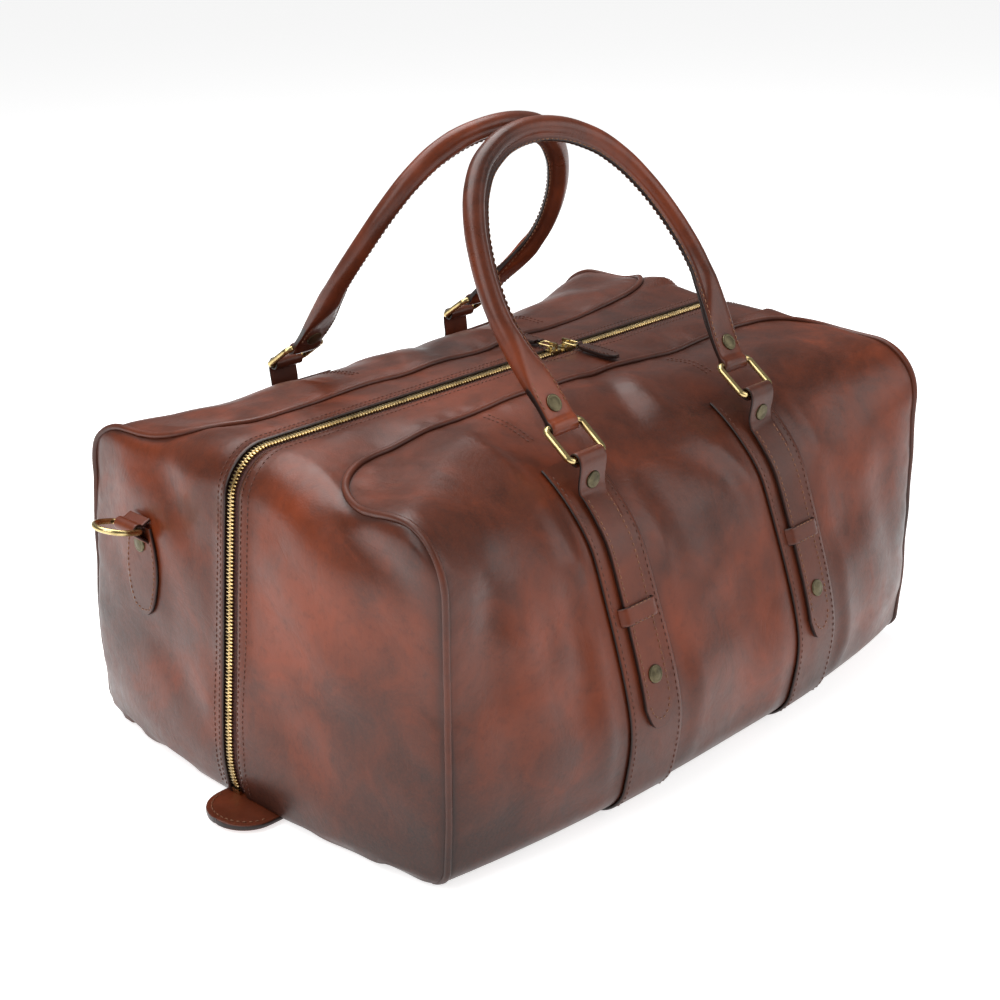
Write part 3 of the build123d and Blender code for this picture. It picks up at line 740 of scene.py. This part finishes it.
def make_zip():
    for side, face in ((-1, "front"), (1, "back")):
        lines = [fan_y(side * y, 4.0) for y in (0.5, 3.2, 6.5, 11, 15.5)]
        lines = [cut_at_knots(line, corners_of(line), ZIP_COUNTS) for line in lines]
        points, normals = settle(np.stack(lines, 1), 2)
        tape = slab(f"zip_tape_{face}", points, normals, -2.4, -3.1, TAPE, slot="zip_tape")
        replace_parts(tape, f"zip_tape_{face}")
        line, normals = stitch_line(side * 0.1, 12.0)
        run = lengths(line)
        at = np.arange(1.3 + (0.0 if side < 0 else 1.25), run[-1] - 1, 2.5)
        centre, up = sample(line, run, at), sample(normals, run, at)
        ahead = unit(sample(line, run, at + 0.5) - centre)
        out = np.array([0, float(side), 0])
        turn = np.linspace(0, 2 * math.pi, 8, endpoint=False) + math.pi / 8
        rings = []
        for reach, size in ((-0.9, 0.45), (-0.55, 0.9), (0.4, 1.0), (2.5, 1.0), (3.1, 0.7)):
            middle = centre + out * reach - up * 1.0
            rings.append(middle[:, None] + size * (np.cos(turn)[None, :, None] * 0.78 * ahead[:, None]
                                                   + np.sin(turn)[None, :, None] * 1.15 * up[:, None]))
        parts = merged([tube_parts(one) for one in np.stack(rings, 1)])
        teeth = make(f"zip_teeth_{face}", parts, TEETH, slot="zip_brass", sharp=35)
        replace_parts(teeth, f"zip_teeth_{face}")


# ---- strips of leather -----------------------------------------------------------------------------------
def strip_grid(middle, normals, half_thick, name, body="bag", edges=None, lighten=0.0):
    """Closed leather strip from its middle surface: long edges rounded and painted dark."""
    rows, columns = middle.shape[:2]
    across = np.linspace(-1, 1, columns)
    width = np.linalg.norm(middle[:, -1] - middle[:, 0], axis=1)[:, None]
    from_edge = (1 - np.abs(across))[None, :] * width / 2
    round_off = np.sqrt(np.clip(1 - (1 - np.clip(from_edge / 1.1, 0, 1)) ** 2, 0.12, 1))
    thick = np.broadcast_to(np.reshape(half_thick, (-1, 1)), (rows, columns)) * round_off
    verts, faces = slab_parts(middle + normals * thick[..., None], middle - normals * thick[..., None])
    at = (rows // 2) * (columns - 1) + columns // 2
    faces = facing(verts, faces, normals[rows // 2, columns // 2], at)
    edge = 0.95 * bell(from_edge, 0.8, 4) + 0.42 * bell(from_edge, 3.2)
    if edges is not None:
        edge = np.maximum(edge, edges)
    shade = mottle_and_painted_light_tone(middle.reshape(-1, 3)) + lighten
    return make(name, (verts, faces), TRIM, body, "trim_leather", np.r_[edge.ravel(), edge.ravel()],
                np.r_[shade, shade], 60)


def bar_columns(half, count=13):
    """Places across a strip, closer together at its edges."""
    t = np.linspace(-1, 1, count)
    return half * np.sign(t) * (1 - (1 - np.abs(t)) ** 1.7)


def make_base_strap(x, name):
    lines = [spaced(fan_x(x + offset, 224), 300) for offset in bar_columns(24.0)]
    points, normals = settle(np.stack(lines, 1), 2)
    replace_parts(strip_grid(points + normals * 1.3, normals, 1.2, name), name)
    rows = []
    for offset in (-20.6, 20.6):
        line, up = settle(spaced(fan_x(x + offset, 222), pitch=3.0), 2)
        keep = line[:, 2] > 8
        for side in (-1, 1):
            part = keep & (line[:, 1] * side > 0)
            rows.append((line[part] + up[part] * 2.5, up[part]))
    stitches(f"{name}_stitches", rows, DARK_THREAD, pitch=4.6)


def front_line(x, side, low, high, count):
    """Line up the front or back face at one x."""
    line = fan_x(x, high + 8)
    line = line[(line[:, 1] * side > 0) & (line[:, 2] > low - 6)]
    line = line[np.argsort(line[:, 2])]
    return sample(line, line[:, 2], np.linspace(low, high, count))


def strap_face(x, side, heights, reach):
    """Points and normals of the face under the narrow strap, which ends in a rounded point."""
    from_tip = (heights - STRAP_TIP) / 14.0
    half = STRAP_HALF * np.clip(0.25 + 0.8 * np.sqrt(np.clip(from_tip, 0, 1)) - 0.05 * from_tip, 0, 1)
    half = np.where(heights > STRAP_TIP + 15, STRAP_HALF, half)
    lines = []
    for t in reach:
        offsets = np.round(half * t, 2)
        columns = {w: front_line(x + w, side, STRAP_TIP, STRAP_TOP, 141) for w in np.unique(offsets)}
        lines.append(np.stack([[np.interp(z, columns[w][:, 2], columns[w][:, k]) for k in range(3)]
                               for z, w in zip(heights, offsets)]))
    return settle(np.stack(lines, 1), 2)


def strap_neck(start, up, side):
    """The strap's way to the ring and round its lower bar, as (y, z), and the directions outwards."""
    centre = np.array([side * LOWER_BAR[0], LOWER_BAR[1]])
    radius = 3.75
    arcs = math.atan2(up[1], up[0]) + side * np.radians(np.linspace(0, 262, 30) - 8)
    outward = np.stack([np.cos(arcs), np.sin(arcs)], 1)
    circle = centre + radius * outward
    rising = side * np.array([-up[1], up[0]])
    turning = side * np.array([-outward[0][1], outward[0][0]])
    run = np.linalg.norm(circle[0] - start)
    t = np.linspace(0.08, 1, 16)[:, None]
    ease = ((2 * t ** 3 - 3 * t ** 2 + 1) * start + (t ** 3 - 2 * t ** 2 + t) * run * rising
            + (3 * t ** 2 - 2 * t ** 3) * circle[0] + (t ** 3 - t ** 2) * run * turning)
    path = np.concatenate([ease[:-1], circle])
    ahead = np.gradient(path, axis=0)
    out = side * np.stack([ahead[:, 1], -ahead[:, 0]], 1)
    out[len(ease) - 1:] = outward
    return path, unit(out)


def make_strap(x, side, name):
    """Narrow strap from its tip up the face, then round the ring's lower bar and back under itself."""
    heights = np.r_[STRAP_TIP + 0.2 + np.linspace(0, 1, 14) ** 1.4 * 15, np.linspace(84, STRAP_TOP, 60)]
    reach = bar_columns(1.0)
    points, normals = strap_face(x, side, heights, reach)
    last, up = points[-1, len(reach) // 2, 1:], unit(normals[-1, len(reach) // 2, 1:])
    path, out = strap_neck(last + up * 5.15, up, side)
    eye = grid_of(x + STRAP_HALF * reach, path[:, :1], path[:, 1:])
    eye_up = grid_of(np.zeros(len(reach)), out[:, :1], out[:, 1:])
    lift = 4.35 + 0.8 * smooth(190, STRAP_TOP, heights)
    thick = np.r_[1.7 - 0.75 * smooth(190, STRAP_TOP, heights), np.full(len(path), 0.95)]
    middle = np.concatenate([points + normals * lift[:, None, None], eye])
    tip_paint = np.zeros(middle.shape[:2])
    tip_paint[:1] = 0.95
    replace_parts(strip_grid(middle, np.concatenate([normals, eye_up]), thick, name, edges=tip_paint), name)
    spot = int(np.argmin(np.abs(path[:15, 1] - 219)))
    cap_at, cap_up = np.r_[x, path[spot]], np.r_[0, out[spot]]
    make(f"{name}_rivet", cap_parts(cap_at + cap_up * 0.9, cap_up), CAP, slot="rivet_brass", sharp=40)
    inset = [front_line(x + sign * 9.6, side, 84, STRAP_TOP, 50) for sign in (-1, 1)]
    point = [(-9.6, 84), (-7.4, 77), (-3.2, 72.5), (0, 71.5), (3.2, 72.5), (7.4, 77), (9.6, 84)]
    inset.append(spaced(np.concatenate([front_line(x + a, side, b, b + 1, 2)[:1] for a, b in point]), 14))
    rows = [settle(line, 2) for line in inset]
    stitches(f"{name}_stitches", [(line + up * 6.05, up) for line, up in rows], PALE_THREAD,
             pitch=4.0, length=2.8)
    make_keeper(x, side, name.replace("strap", "keeper"))


def make_keeper(x, side, name):
    t = np.linspace(-1, 1, 25)
    over = 4.9 * np.clip(1 - np.abs(t) ** 9, 0, 1) ** 0.5
    lines = [np.concatenate([front_line(x + w, side, z, z + 1, 2)[:1] for w in 15.6 * t])
             for z in KEEPER_Z + bar_columns(5.6, 9)]
    points, normals = settle(np.stack(lines, 1), 2)
    middle = points + normals * (2.4 + over)[:, None, None]
    ups = unit(np.cross(np.gradient(middle, axis=0), np.gradient(middle, axis=1)))
    ups *= np.sign((ups[12, 4] * normals[12, 4]).sum())
    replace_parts(strip_grid(middle, ups, 0.95, name), name)
    rows = [(middle[3:-3, k] + ups[3:-3, k] * 0.95, ups[3:-3, k]) for k in (1, -2)]
    stitches(f"{name}_stitches", rows, PALE_THREAD, pitch=4.0, length=2.8)


def cap_parts(centre, up, height=1.7):
    """Domed rivet cap with a rolled rim."""
    up = unit(up)
    side = unit(np.cross(up, [1.0, 0.3, 0.1]))
    front = np.cross(up, side)
    profile = [(0.97, -0.8), (1.0, 0.15), (0.985, 0.5), (0.93, 0.72), (0.84, 0.78), (0.76, 0.7),
               (0.6, 0.84), (0.35, 0.96), (0.1, 1.0), (0.01, 1.0)]
    turn = np.linspace(0, 2 * math.pi, 28, endpoint=False)
    rings = [centre + CAP_RADIUS * size * (np.cos(turn)[:, None] * side + np.sin(turn)[:, None] * front)
             + up * height * rise for size, rise in profile]
    return tube_parts(np.stack(rings))


def make_strap_rivets():
    parts = []
    for x in (-STRAP_X, STRAP_X):
        for side in (-1, 1):
            point, up = settle(front_line(x, side, 100.0, 101.0, 2)[:1], 2)
            parts.append(cap_parts(point[0] + up[0] * 6.0, up[0]))
    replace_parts(make("strap_rivets", merged(parts), CAP, slot="rivet_brass", sharp=40), "strap_rivets")


# ---- handles ---------------------------------------------------------------------------------------------
HANDLE_HALF = [(-90, -6), (-90, 8), (-91.5, 20), (-95, 34), (-99.5, 50), (-102.5, 68), (-102, 88),
               (-98, 110), (-90.5, 134), (-78, 158), (-60, 178), (-34, 191.5), (-10, 196.5)]
TUBE_RADIUS = 7.9
BACK_BOW = 11.0        # how far the back handle bows away from its plane


def handle_line(count=300):
    points = np.array(HANDLE_HALF + [(-x, s) for x, s in reversed(HANDLE_HALF)], float)
    flat = np.c_[points, np.zeros(len(points))]
    line = spaced(flat, 1200)
    reach = np.arange(-60, 61)
    kernel = np.exp(-0.5 * (reach / 18) ** 2)
    kernel /= kernel.sum()
    soft = np.stack([np.convolve(np.pad(line[:, k], 60, mode="reflect", reflect_type="odd"), kernel, "valid")
                     for k in range(3)], 1)
    return spaced(soft, count)


def handle_sections():
    """Outlines across the handle: its flat tab, and its round tube with a sewn flange."""
    count = 44
    turn = np.linspace(0, 2 * math.pi, count, endpoint=False)
    power = 0.42
    tab = np.stack([STRAP_HALF * np.sign(np.cos(turn)) * np.abs(np.cos(turn)) ** power,
                    np.sign(np.sin(turn)) * np.abs(np.sin(turn)) ** power], 1)
    tube = np.zeros((count, 2))
    lip = [(12.6, 0.0), (12.5, 1.0), (12.0, 1.45), (10.8, 1.55), (9.4, 1.6), (8.0, 1.9)]
    tube[:6] = lip
    tube[-5:] = [(n, -b) for n, b in reversed(lip[1:])]
    around = np.linspace(math.radians(22), math.radians(338), count - 11)
    tube[6:-5] = TUBE_RADIUS * np.stack([np.cos(around), np.sin(around)], 1)
    return tab, tube


def make_handle(side, name):
    turned = 1.0 if side < 0 else -1.0
    flip = np.array([turned, turned, 1.0])
    line = handle_line()
    ahead = unit(np.gradient(line, axis=0))
    inward = np.stack([ahead[:, 1], -ahead[:, 0]], 1)
    run = lengths(line)
    from_end = np.minimum(run, run[-1] - run) - 6.0
    share = smooth(24, 66, from_end)
    tab, tube = handle_sections()
    bar = np.sqrt(np.clip(4.75 ** 2 - np.minimum(np.abs(from_end), 4.75) ** 2, 0.05, None))
    flat_tab = np.where(from_end > 1.5, 2.7 + 0.9 * smooth(14, 40, from_end), 0)
    thick = np.maximum(np.where(from_end < 4.8, bar, 0.0), flat_tab)
    scale = np.stack([np.ones_like(thick), thick], 1)[:, None]
    section = (1 - share)[:, None, None] * tab[None] * scale + share[:, None, None] * tube[None]
    swell = 1 - 0.1 * smooth(60, 75, from_end) + 0.02 * np.sin(run * 0.045)
    section = section * swell[:, None, None]
    up_dir = np.array([0, math.sin(HANDLE_LEAN), math.cos(HANDLE_LEAN)])
    out_dir = np.array([0, -math.cos(HANDLE_LEAN), math.sin(HANDLE_LEAN)])
    origin = np.array([0, -UPPER_BAR[0], UPPER_BAR[1]])

    def place(flat, out):
        """Point in the handle's plane, and how far out of it, as a point in space."""
        bow = BACK_BOW * np.sin(math.pi * np.clip(flat[..., 1] / 190, 0, 1)) if side > 0 else 0.0
        p = origin + flat[..., :1] * [1.0, 0, 0] + flat[..., 1:2] * up_dir + (out - bow)[..., None] * out_dir
        return p * flip

    parts = tube_parts(place(line[:, None, :2] + section[..., :1] * inward[:, None], section[..., 1]))
    n = section[..., 0]
    tip = smooth(11.2, 12.3, n / swell[:, None]) * (np.abs(section[..., 1]) < 1.5)
    flange = share[:, None] * (0.95 * tip + 0.45 * smooth(6.5, 10, n))
    sides = (1 - share)[:, None] * (0.92 * smooth(12.1, 12.45, np.abs(n)) + 0.4 * smooth(8, 12, np.abs(n)))
    edge = np.clip(flange + sides, 0, 1)
    rub = 0.35 * np.sin(run * 0.021 + 0.6) + 0.2 * np.sin(run * 0.05 + turned)
    tone = np.broadcast_to(rub[:, None], n.shape) + 0.25 * smooth(-2, -8, n)
    piece = make(name, parts, HANDLE, name, "handle_leather", edge=edge, tone=tone, sharp=70)
    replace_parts(piece, name)
    sewn = from_end > 9
    first = run < run[-1] / 2
    on_tab = sewn & (from_end < 40)
    outer = 10.0 * (1 - share) + 10.6 * share
    inner = -(10.2 - 2.6 * smooth(20, 40, from_end))
    rows = []
    for face in (-1, 1):
        for part, across, rise in ((sewn, outer, 1.62), (on_tab & first, inner, 4.5),
                                   (on_tab & ~first, inner, 4.5)):
            high = (1 - share) * thick * 0.97 + share * rise
            centre = place(line[part][:, :2] + across[part][:, None] * inward[part], face * high[part])
            rows.append((centre, np.broadcast_to(face * out_dir * flip, centre.shape)))
    stitches(f"{name}_stitches", rows, PALE_THREAD, name, "handle_leather", pitch=4.2, length=3.0)
    inside = place(line[:, :2], np.zeros(len(line)))[from_end > 42]
    core = tube_parts(round_tube(inside, np.broadcast_to(out_dir * flip, inside.shape), 5.0, 10))
    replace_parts(make(f"{name}_core", core, CORE, name, "handle_core"), f"{name}_core")
    caps = []
    for end in (-1, 1):
        for face in (-1, 1):
            centre = place(np.array([[end * 91.6, 14.0]]), np.array([face * 2.9]))[0]
            caps.append(cap_parts(centre, face * out_dir * flip, 1.6))
    rivets = make(f"{name}_caps", merged(caps), CAP, name, "rivet_brass", sharp=40)
    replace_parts(rivets, f"{name}_rivets")


# ---- small leather pieces --------------------------------------------------------------------------------
def make_pull(label, x, side):
    """Pointed leather pull: two layers folded round the pull ring, stitched along the edge."""
    shape = curve_table([(0, 2.6), (14, 2.8), (19, 5.6), (24, 6.5), (38, 6.5), (44, 5.6), (48, 3.2),
                         (50, 1.2)], 1)
    body = f"pull_tab_{label}"
    reach = bar_columns(1.0, 11)
    along = np.linspace(15.5, 49.4, 40)[:, None]

    def level(along):
        return PULL_Z - 0.9 * smooth(14, 50, along)

    middle = grid_of(x + shape(along) * reach, side * along, level(along))
    ups = np.broadcast_to(np.array([0, 0, 1.0]), middle.shape)
    piece = strip_grid(middle, ups, 1.35, body, body, lighten=-0.45)
    turn = np.radians(np.linspace(120, -120, 22))[:, None]
    ring = grid_of(x + 2.5 * reach, side * (PULL_BAR + 1.95 * np.cos(turn)), PULL_Z + 1.95 * np.sin(turn))
    out = grid_of(0 * reach, side * np.cos(turn), np.sin(turn))
    eye = strip_grid(ring, out, 0.5, f"{body}_eye", body, lighten=-0.45)
    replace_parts(piece, body)
    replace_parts(eye, body)
    for k, s in enumerate((-1, 1)):
        a = np.linspace(18, 46, 30)[::s]
        line = grid_of(x + s * (shape(a) - 1.7), side * a, level(a) + 1.5)
        stitches(f"{body}_stitches_{k}", [(line, np.tile([0, 0, 1.0], (len(line), 1)))], DARK_THREAD, body,
                 pitch=3.2, length=2.4, radius=0.42)


def end_points(y, z, turned):
    """Points on the left end (turned 1) or, half a turn round, on the right end (turned -1)."""
    y, z = np.broadcast_arrays(np.asarray(y, float), np.asarray(z, float))
    origin = np.stack([np.full(y.shape, -150.0) * turned, y * turned, z], -1).reshape(-1, 3)
    return settle(cast(origin, np.array([-float(turned), 0, 0])), 3)


def make_patch(label, turned):
    name = f"d_ring_patch_{label}"
    outline = curve_table([(100, 0), (106, 3.0), (109, 8.5), (114, 12.5), (122, 16), (134, 18.6),
                           (146, 18.8), (158, 16.6), (166, 13.6), (172, 11.4), (182, 11)], 2)
    heights = np.r_[106.8 + np.linspace(0, 1, 12) ** 1.5 * 10, np.linspace(118, 171, 34)]
    reach = bar_columns(1.0)
    half = outline(heights)
    y = D_RING[1] + half[:, None] * reach
    points, normals = end_points(y, heights[:, None], turned)
    points, normals = points.reshape(y.shape + (3,)), normals.reshape(y.shape + (3,))
    ends = np.zeros(y.shape)
    ends[:1] = 0.9
    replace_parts(strip_grid(points + normals * 1.4, normals, 1.25, name, edges=ends), name)
    top = points[-1, len(reach) // 2]
    foot = np.array([abs(top[0]), top[2]])
    centre = np.array([-D_RING[0], D_RING[2]])
    arcs = np.radians(np.linspace(-62, 150, 30))
    loop = centre + 3.5 * np.stack([np.cos(arcs), np.sin(arcs)], 1)
    path = np.concatenate([[(foot[0] + 2.2, foot[1] - 11.0)], loop, [(foot[0] + 0.8, foot[1] + 6.0)]])
    path = spaced(np.c_[path, np.zeros(len(path))], 240)
    kernel = np.hanning(23) / np.hanning(23).sum()
    padded = np.pad(path[:, :2], ((11, 11), (0, 0)), mode="reflect", reflect_type="odd")
    path = np.stack([np.convolve(padded[:, k], kernel, "valid") for k in (0, 1)], 1)[::4]
    step = np.gradient(path, axis=0)
    out = unit(np.stack([step[:, 1], -step[:, 0]], 1))
    grid = grid_of(-turned * path[:, :1], turned * (D_RING[1] + 11.0 * reach), path[:, 1:])
    outs = grid_of(-turned * out[:, :1], 0 * reach, out[:, 1:])
    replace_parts(strip_grid(grid, outs, 1.0, f"{name}_loop"), name)
    line_z = np.r_[np.linspace(164, 112, 26), 109.8, np.linspace(112, 164, 26)]
    inset = np.maximum(outline(line_z) - 2.8, 0)
    line_y = D_RING[1] + inset * np.r_[np.ones(26), 0, -np.ones(26)]
    line, up = end_points(line_y, line_z, turned)
    stitches(f"{name}_stitches", [(line + up * 2.65, up)], PALE_THREAD, pitch=3.9, length=2.7)
    point, up = end_points([D_RING[1]], [157.5], turned)
    make(f"{name}_rivet", cap_parts(point[0] + up[0] * 2.6, up[0]), CAP, slot="rivet_brass", sharp=40)


def make_end_tab(label, turned):
    name = f"end_tab_{label}"
    out = np.r_[np.linspace(0, 12, 8), 12 + 25.5 * np.sin(np.linspace(0.1, 1, 20) * math.pi / 2)]
    half = 26.5 * np.sqrt(np.clip(1 - np.clip((out - 12) / 25.6, 0, 1) ** 2.2, 0.004, 1))
    reach = bar_columns(1.0, 17)
    rise = 5.0 + 0.8 * (out / 38) ** 2
    grid = grid_of(-turned * (261 + out)[:, None], turned * (-15 + half[:, None] * reach),
                   rise[:, None] - 0.6 * reach ** 2)
    ups = np.broadcast_to(np.array([0, 0, 1.0]), grid.shape)
    ends = np.zeros(grid.shape[:2])
    ends[-1:] = 0.9
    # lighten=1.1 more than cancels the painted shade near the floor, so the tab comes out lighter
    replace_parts(strip_grid(grid, ups, 2.0, name, edges=ends, lighten=1.1), name)
    turn = np.linspace(-math.pi / 2, math.pi / 2, 40)
    row = np.stack([-turned * (273 + 22.0 * np.cos(turn)), turned * (-15 + 23.0 * np.sin(turn)),
                    np.full(40, 7.35)], 1)
    row[:, 2] -= 0.6 * np.sin(turn) ** 2 - 0.6 * np.cos(turn) ** 2
    stitches(f"{name}_stitches", [(row, np.tile([0, 0, 1.0], (40, 1)))], PALE_THREAD, pitch=4.2, length=3.0)


def make_gusset_stitches():
    rows = []
    for side in (-1, 1):
        for away in (3.6, 8.8):
            line, up = stitch_line(side * (ZIP_EDGE[side] + away))
            raised = 0.35 * bell(away - 5.5, 2.6) if side < 0 else 1.5 * bell(away, 5.5)
            rows.append((line + up * raised, up))
    stitches("gusset_stitches", rows, DARK_THREAD, slot="panel_leather", pitch=3.9, length=2.9, radius=0.4)


def make_short_rows():
    """Short double rows of stitches where the handle reinforcement is sewn on from inside."""
    rows = []
    for x in (-STRAP_X - 6, STRAP_X + 6):
        for side in (-1, 1):
            for shift in (-2.4, 2.4):
                y = side * np.linspace(60, 104, 24)
                origin = np.stack([np.full(24, x + shift), y, np.full(24, 150.0)], 1)
                line, up = settle(cast(origin, np.array([0, 0, 1.0])), 3)
                rows.append((line + up * 0.1, up))
    stitches("reinforcement_stitches", rows, DARK_THREAD, slot="panel_leather", pitch=3.9, length=2.9)


# ---- build -----------------------------------------------------------------------------------------------
def build():
    for side, face in ((-1, "front"), (1, "back")):
        points = make_panel(side, f"{face}_panel")
        seam_line = make_piping(points, f"piping_{face}")
        make_gusset(side, f"gusset_{face}", seam_line)
        for x in (-STRAP_X, STRAP_X):
            place = "left" if x < 0 else "right"
            make_strap(x, side, f"{face}_strap_{place}")
        make_handle(side, f"{face}_handle")
    for x, place in ((-STRAP_X, "left"), (STRAP_X, "right")):
        make_base_strap(x, f"base_strap_{place}")
    make_bottom()
    make_lining()
    make_zip()
    make_zip_stops()
    make_strap_rivets()
    for label, x, side in (("left", 40.0, 1), ("right", 54.0, -1)):
        make_pull(label, x, side)
    for label, turned in (("left", 1), ("right", -1)):
        make_patch(label, turned)
        make_end_tab(label, turned)
    make_gusset_stitches()
    make_short_rows()


def dress_cad():
    """Finishes for the CAD pieces that stay."""
    finishes = {"ring": BRASS, "slider": BRASS, "stops": TEETH, "core": CORE, "board": BOARD}
    for name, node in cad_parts.items():
        for word, finish in finishes.items():
            if word in name and "patch" not in name and not node.hide_render:
                for place in node.material_slots:
                    place.material = finish


# ---- floor, light and camera -----------------------------------------------------------------------------
def make_floor():
    mesh = bpy.data.meshes.new("floor")
    size = 40.0
    corners = [(-size, -size, 0), (size, -size, 0), (size, size, 0), (-size, size, 0)]
    mesh.from_pydata(corners, [], [(0, 1, 2, 3)])
    floor = bpy.data.objects.new("floor", mesh)
    bpy.context.scene.collection.objects.link(floor)
    s = Shader("floor_white")
    s.give("Base Color", (0.86, 0.86, 0.86, 1))
    s.give("Roughness", 0.9)
    s.give("Emission Color", (1, 1, 1, 1))
    s.give("Emission Strength", 0.7)
    mesh.materials.append(s.material)


def area_light(name, place, aim, size, power, colour=(1, 1, 1)):
    data = bpy.data.lights.new(name, "AREA")
    data.shape, data.size, data.size_y = "RECTANGLE", size[0], size[1]
    data.energy, data.color = power, colour
    lamp = bpy.data.objects.new(name, data)
    bpy.context.scene.collection.objects.link(lamp)
    lamp.location = place
    direction = np.array(aim, float) - np.array(place, float)
    flat = math.hypot(direction[0], direction[1])
    lamp.rotation_euler = (math.pi / 2 - math.atan2(-direction[2], flat), 0,
                           math.atan2(direction[1], direction[0]) - math.pi / 2)


def light_and_camera():
    scene = bpy.context.scene
    world = bpy.data.worlds.new("studio")
    scene.world = world
    world.use_nodes = True
    world.node_tree.nodes["Background"].inputs["Color"].default_value = (1, 1, 1, 1)
    world.node_tree.nodes["Background"].inputs["Strength"].default_value = 0.24
    area_light("overhead", (0.0, 0.5, 1.5), (0, 0, 0.15), (1.8, 1.1), 30)
    area_light("left", (-1.3, -0.1, 1.1), (-0.1, 0, 0.15), (0.9, 1.2), 10)
    area_light("front", (0.9, -1.5, 1.0), (0.05, 0, 0.12), (1.5, 1.3), 13)
    scene.view_settings.view_transform = "Standard"
    camera = bpy.data.cameras.new("camera")
    camera.sensor_width, camera.lens = 36.0, 64.8
    camera.clip_end = 50
    eye = bpy.data.objects.new("camera", camera)
    scene.collection.objects.link(eye)
    eye.location = (-0.8979, -0.8362, 0.6289)
    eye.rotation_euler = (math.radians(90 - 21.8235), 0, math.radians(-46.5155))
    scene.camera = eye


build()
dress_cad()
make_floor()
light_and_camera()
